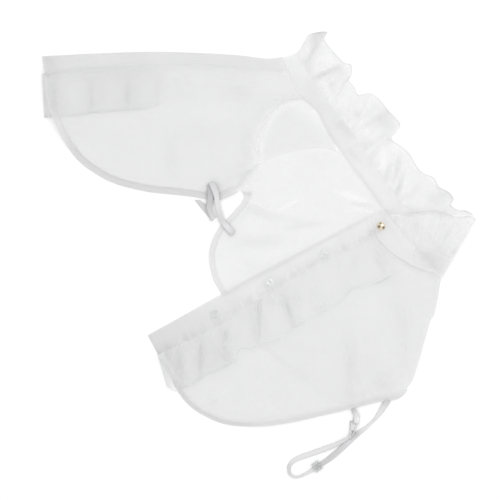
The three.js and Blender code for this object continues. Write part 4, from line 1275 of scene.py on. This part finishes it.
class COLLAR_OT_placket_ruffles(bpy.types.Operator):
    """Gather the ruffles along the plackets"""

    bl_idname = "collar.placket_ruffles"
    bl_label = "Placket Ruffles"

    def execute(self, context):
        root = (TAPE + CLOTH) / 2 + SEAM + PLACKET_LIFT
        left = ruffle_place(
            edge(LEFT_RUFFLE_SEAM), LEFT_PLACKET_FOLDS, LEFT_PLACKET_CREASES,
            lambda u: mix(0.6, -0.05, through((0.05, 0.7), u)) + 1.4 * bump(u, 0.022),
            lambda share, place: left_height(place) + root, 45,
            lambda tip: left_height(tip) + CLOTH / 2,
        )
        right = ruffle_place(
            edge(RIGHT_RUFFLE_SEAM), RIGHT_PLACKET_FOLDS, RIGHT_PLACKET_CREASES,
            lambda u: 0.6 + 1.3 * bump(u, 0.03),
            lambda share, place: HIDDEN_RUFFLE_ROOT, 45,
        )

        def hidden(u, v):
            point, dense_and_shade = right(u, v)
            return point, dense_and_shade * mix(1, 0.15, through((0.5, 0.64), u))

        for name, place, columns, rests, flat in (
            ("left_placket_ruffle", left, 420, "left_front_cloth", (0.045, 0.285)),
            ("right_placket_ruffle", hidden, 340, "table_top", (0.042, 0.24)),
        ):
            piece = cloth_piece(
                name + "_cloth", name, columns, 32, place, (380, 45), "ruffle organza",
            )
        return {"FINISHED"}


class COLLAR_OT_neckband(bpy.types.Operator):
    """Fold the neckband round the neck and back on itself at the left shoulder"""

    bl_idname = "collar.neckband"
    bl_label = "Neckband"

    def execute(self, context):
        slack = creased(BAND_CREASES)
        far_sewn, near_sewn = beside(far_neckline, 2 * SEAM), beside(near_neckline, -SEAM)

        def far(u, v):
            flat = far_sewn(u).lerp(far_band_top(u), v)
            puckers = 0.25 * gathers(u * FAR_BAND_LENGTH, 15) * bump(1 - v, 0.3)
            dense_and_shade = 0.85 + 0.35 * bump(v - 0.04, 0.14) + puckers + slack(flat)[1]
            shown = max(dense_and_shade, 0.1) * (1 - HIDDEN_NECK * under_left(flat))
            return raised(flat, far_band_height(u, v)), shown

        def near(u, v):
            flat = near_sewn(u).lerp(near_band_top(u), v)
            dense_and_shade = 0.95 + 0.12 * bump(v - 0.06, 0.2) + 0.2 * bump(1 - v, 0.16) + slack(flat)[1]
            return raised(flat, near_band_height(u, v)), max(dense_and_shade, 0.1)

        piece = cloth_piece(
            "neckband_cloth", "neckband", 420, 20, folded_back(far, near), (400, 23),
            "sheer organza",
        )
        return {"FINISHED"}


class COLLAR_OT_neck_ruffle(bpy.types.Operator):
    """Gather the ruffle along the top of the neckband"""

    bl_idname = "collar.neck_ruffle"
    bl_label = "Neck Ruffle"

    def execute(self, context):
        far = ruffle_place(
            far_band_top, FAR_NECK_FOLDS, FAR_NECK_CREASES, lambda u: 1.0,
            lambda share, place: far_band_height(share, 1), 46,
        )
        near = ruffle_place(
            near_band_top, NEAR_NECK_FOLDS, NEAR_NECK_CREASES, lambda u: 0.9,
            lambda share, place: near_band_height(share, 1), 42,
        )

        def far_fading(u, v):
            point, dense_and_shade = far(u, v)
            return point, dense_and_shade * (1 - HIDDEN_NECK * under_left(point.xy))

        piece = cloth_piece(
            "neck_ruffle_cloth", "neck_ruffle", 760, 36, folded_back(far_fading, near), (560, 46),
            "ruffle organza",
        )
        return {"FINISHED"}


class COLLAR_OT_ball_button(bpy.types.Operator):
    """Turn the ball button on its shank"""

    bl_idname = "collar.ball_button"
    bl_label = "Ball Button"

    def execute(self, context):
        low, high = (Vector(corner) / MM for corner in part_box("ball_button"))
        centre = middle_of("ball_button")
        radius = (high.x - low.x) / 2
        top = high.z - low.z
        profile = [*SHANK_PROFILE]
        for k in range(1, BALL_STEPS + 1):
            angle = math.pi * mix(BALL_FROM, 1, k / BALL_STEPS)
            profile.append((radius * math.sin(angle), top - radius - radius * math.cos(angle)))
        profile[-1] = (0, top)
        bm = spun(profile, (centre.x, centre.y, low.z), 64)
        # Dark reflections are painted on the ball at the listed spots.
        painted_reflection = bm.verts.layers.float.new("painted_reflection")
        spots = [(plan(x, y), size) for x, y, size in BALL_PAINTED_REFLECTIONS]
        for vert in bm.verts:
            vert[painted_reflection] = sum(bump((vert.co.xy - spot).length, size) for spot, size in spots)
        finished("ball_button_gold", bm, "polished gold", ["ball_button"], "gold")
        return {"FINISHED"}


class COLLAR_OT_snaps(bpy.types.Operator):
    """Set the clear snaps on the left placket"""

    bl_idname = "collar.snaps"
    bl_label = "Snaps"

    def execute(self, context):
        for node, (dark, light) in SNAPS.items():
            low, high = (Vector(corner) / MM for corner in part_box(node))
            centre = middle_of(node)
            radius = (high.x - low.x) / 2
            top = high.z - low.z
            profile = [
                (0, 0.1), (radius - 0.5, 0), (radius, 0.3), (radius - 0.2, 0.8), (3.5, 0.9),
                (3.1, top - 0.5), (2.7, top - 0.1), (2.2, top), (1.7, top - 0.3), (1.5, 1),
                (0, 0.9),
            ]
            bm = spun(profile, (centre.x, centre.y, low.z), 40)
            bmesh.ops.bevel(
                bm, geom=[e for e in bm.edges if e.calc_face_angle(0) > 0.6], offset=0.12,
                segments=2, affect="EDGES", profile=0.5, material=-1,
            )
            ring = bm.verts.layers.float.new("ring")
            painted_glint = bm.verts.layers.float.new("painted_glint")
            for vert in bm.verts:
                # Each snap's ring gets painted shade, stronger on the sides turned to the light,
                # and its inner rim painted highlights in two arcs along the way the light falls.
                out = vert.co.xy - centre.xy
                turned = math.atan2(out.y, out.x) - GLINT_TURN
                lit = clamp(1.8 * abs(math.cos(turned)) - 0.8)
                vert[ring] = dark * bump(out.length - 3.5, 0.9) * (1 + 0.4 * math.sin(2 * turned))
                vert[painted_glint] = light * bump(out.length - 2.7, 0.9) * lit
            finished(node + "_plastic", bm, "clear plastic", [node], "clear_plastic")
        return {"FINISHED"}


class COLLAR_OT_stitching(bpy.types.Operator):
    """Sew the rows of small stitches along bindings, plackets and neckband"""

    bl_idname = "collar.stitching"
    bl_label = "Stitching"

    def execute(self, context):
        pitch = context.scene.collar_sizes.stitch_length / MM
        right_sewn, left_sewn = edge(RIGHT_PLACKET_SEAM), edge(LEFT_PLACKET_SEAM)

        for name, slot, rows in (
            ("binding_stitches", "binding", (
                (back_hem, beside(back_hem, BINDING_WIDTH), hem_on_back, 0.16, (0.09, 0.28)),
                (left_hem, beside(left_hem, BINDING_WIDTH), hem_on_left, 0.3, (0, 0.97)),
                (right_hem, beside(right_hem, BINDING_WIDTH), hem_on_right, 0.05, (0, 0.98)),
            )),
            ("placket_stitches", "organza", (
                (right_sewn, right_free, right_placket_height, 0.08, (0.01, 0.99)),
                (right_sewn, right_free, right_placket_height, 0.92, (0.01, 0.99)),
                (left_sewn, left_free, left_placket_height, 0.94, (0.01, 0.99)),
            )),
            ("neckband_stitches", "organza", (
                (beside(far_neckline, 2 * SEAM), far_band_top, far_band_height, 0.08, (0.01, 0.7)),
                (beside(near_neckline, -SEAM), near_band_top, near_band_height, 0.08, (0.12, 0.98)),
            )),
        ):
            bm = bmesh.new()
            for inner, outer, height, v, (first, last) in rows:
                count = round(length_of(inner) * (last - first) / pitch)
                shares = [mix(first, last, k / count) for k in range(count + 1)]
                places = [inner(share).lerp(outer(share), v) for share in shares]
                for k, (start, end) in enumerate(zip(places, places[1:])):
                    flat = start.lerp(end, 0.5)
                    lift = height(mix(first, last, (k + 0.5) / count), v, flat) + STITCH_LIFT
                    ahead = end - start
                    turn = Matrix.Rotation(math.atan2(ahead.y, ahead.x), 4, "Z")
                    size = Matrix.Diagonal((STITCH_SHARE * ahead.length, *STITCH_HALF, 1))
                    at = Matrix.Translation(raised(flat, lift)) @ turn @ size
                    bmesh.ops.create_icosphere(bm, subdivisions=1, radius=1, matrix=at)
            finished(name, bm, "white thread", [], slot)
        return {"FINISHED"}


class COLLAR_OT_straps(bpy.types.Operator):
    """Lay the elastic straps of both sides"""

    bl_idname = "collar.straps"
    bl_label = "Elastic Straps"

    def execute(self, context):
        webbing("left_strap_elastic", "left_strap", [LEFT_STRAP_LINE, *STRAP_LOOP])
        webbing("left_strap_tab_elastic", "left_strap_tab", [LEFT_TAB_LINE])

        last = len(RIGHT_STRAP_SECTIONS) - 1
        columns = list(zip(*RIGHT_STRAP_SECTIONS))

        def place(u, v):
            left_x, left_y, right_x, right_y, z = (along(values, u * last) for values in columns)
            flat = plan(left_x, left_y).lerp(plan(right_x, right_y), v)
            # Painted shade along the right strap, section by section.
            return raised(flat, z), 1 + along(RIGHT_STRAP_PAINTED_SHADE, u * last)

        bm = bmesh.new()
        cloth_grid(bm, last * 10, 6, place, (150, STRAP_WIDTH))
        bmesh.ops.solidify(bm, geom=bm.faces, thickness=STRAP / 2)
        bmesh.ops.translate(bm, verts=bm.verts, vec=(0, 0, 0.1))
        bmesh.ops.recalc_face_normals(bm, faces=bm.faces)
        finished("right_strap_elastic", bm, "woven elastic", ["right_strap"], "elastic")
        return {"FINISHED"}


class COLLAR_OT_strap_fittings(bpy.types.Operator):
    """Finish the slider and the hook of the left strap"""

    bl_idname = "collar.strap_fittings"
    bl_label = "Slider and Hook"

    def execute(self, context):
        for node, dark in FITTINGS.items():
            bm = bmesh.new()
            bm.from_mesh(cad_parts[node].data)
            bmesh.ops.scale(bm, vec=(1 / MM, 1 / MM, 1 / MM), verts=bm.verts)
            bmesh.ops.remove_doubles(bm, verts=bm.verts, dist=0.002)
            bmesh.ops.dissolve_limit(bm, angle_limit=0.02, verts=bm.verts, edges=bm.edges)
            bmesh.ops.bevel(
                bm, geom=[e for e in bm.edges if e.calc_face_angle(0) > 0.6], offset=0.2,
                segments=2, affect="EDGES", profile=0.5, material=-1, clamp_overlap=True,
            )
            ring = bm.verts.layers.float.new("ring")
            for vert in bm.verts:
                vert[ring] = dark
            finished(node + "_plastic", bm, "clear plastic", [node], "clear_plastic")
        return {"FINISHED"}


STEPS = (
    COLLAR_OT_stage, COLLAR_OT_finishes, COLLAR_OT_bindings, COLLAR_OT_back_panel,
    COLLAR_OT_left_front, COLLAR_OT_right_front, COLLAR_OT_plackets, COLLAR_OT_placket_ruffles,
    COLLAR_OT_neckband, COLLAR_OT_neck_ruffle, COLLAR_OT_ball_button, COLLAR_OT_snaps,
    COLLAR_OT_stitching, COLLAR_OT_straps, COLLAR_OT_strap_fittings,
)


class COLLAR_PT_panel(bpy.types.Panel):
    """Lists the collar's sizes, colours and pieces"""

    bl_idname = "COLLAR_PT_panel"
    bl_label = "Organza Collar"
    bl_space_type = "VIEW_3D"
    bl_region_type = "UI"
    bl_category = "Collar"

    def draw(self, context):
        layout = self.layout
        for group in (getattr(context.scene, name) for name in GROUPS):
            box = layout.box()
            for name in group.bl_rna.properties.keys():
                if name not in ("rna_type", "name"):
                    box.prop(group, name)
        for step in STEPS:
            layout.operator(step.bl_idname)


GROUPS = {"collar_sizes": CollarSizes, "collar_looks": CollarLooks, "collar_stage": StageSizes}


def register():
    for made in (*GROUPS.values(), *STEPS, COLLAR_PT_panel):
        bpy.utils.register_class(made)
    for name, group in GROUPS.items():
        setattr(bpy.types.Scene, name, PointerProperty(type=group))


def unregister():
    for name in GROUPS:
        delattr(bpy.types.Scene, name)
    for made in (COLLAR_PT_panel, *STEPS, *GROUPS.values()):
        bpy.utils.unregister_class(made)


def main():
    register()
    for step in STEPS:
        group, name = step.bl_idname.split(".")
        getattr(getattr(bpy.ops, group), name)()


if __name__ == "__main__":
    main()
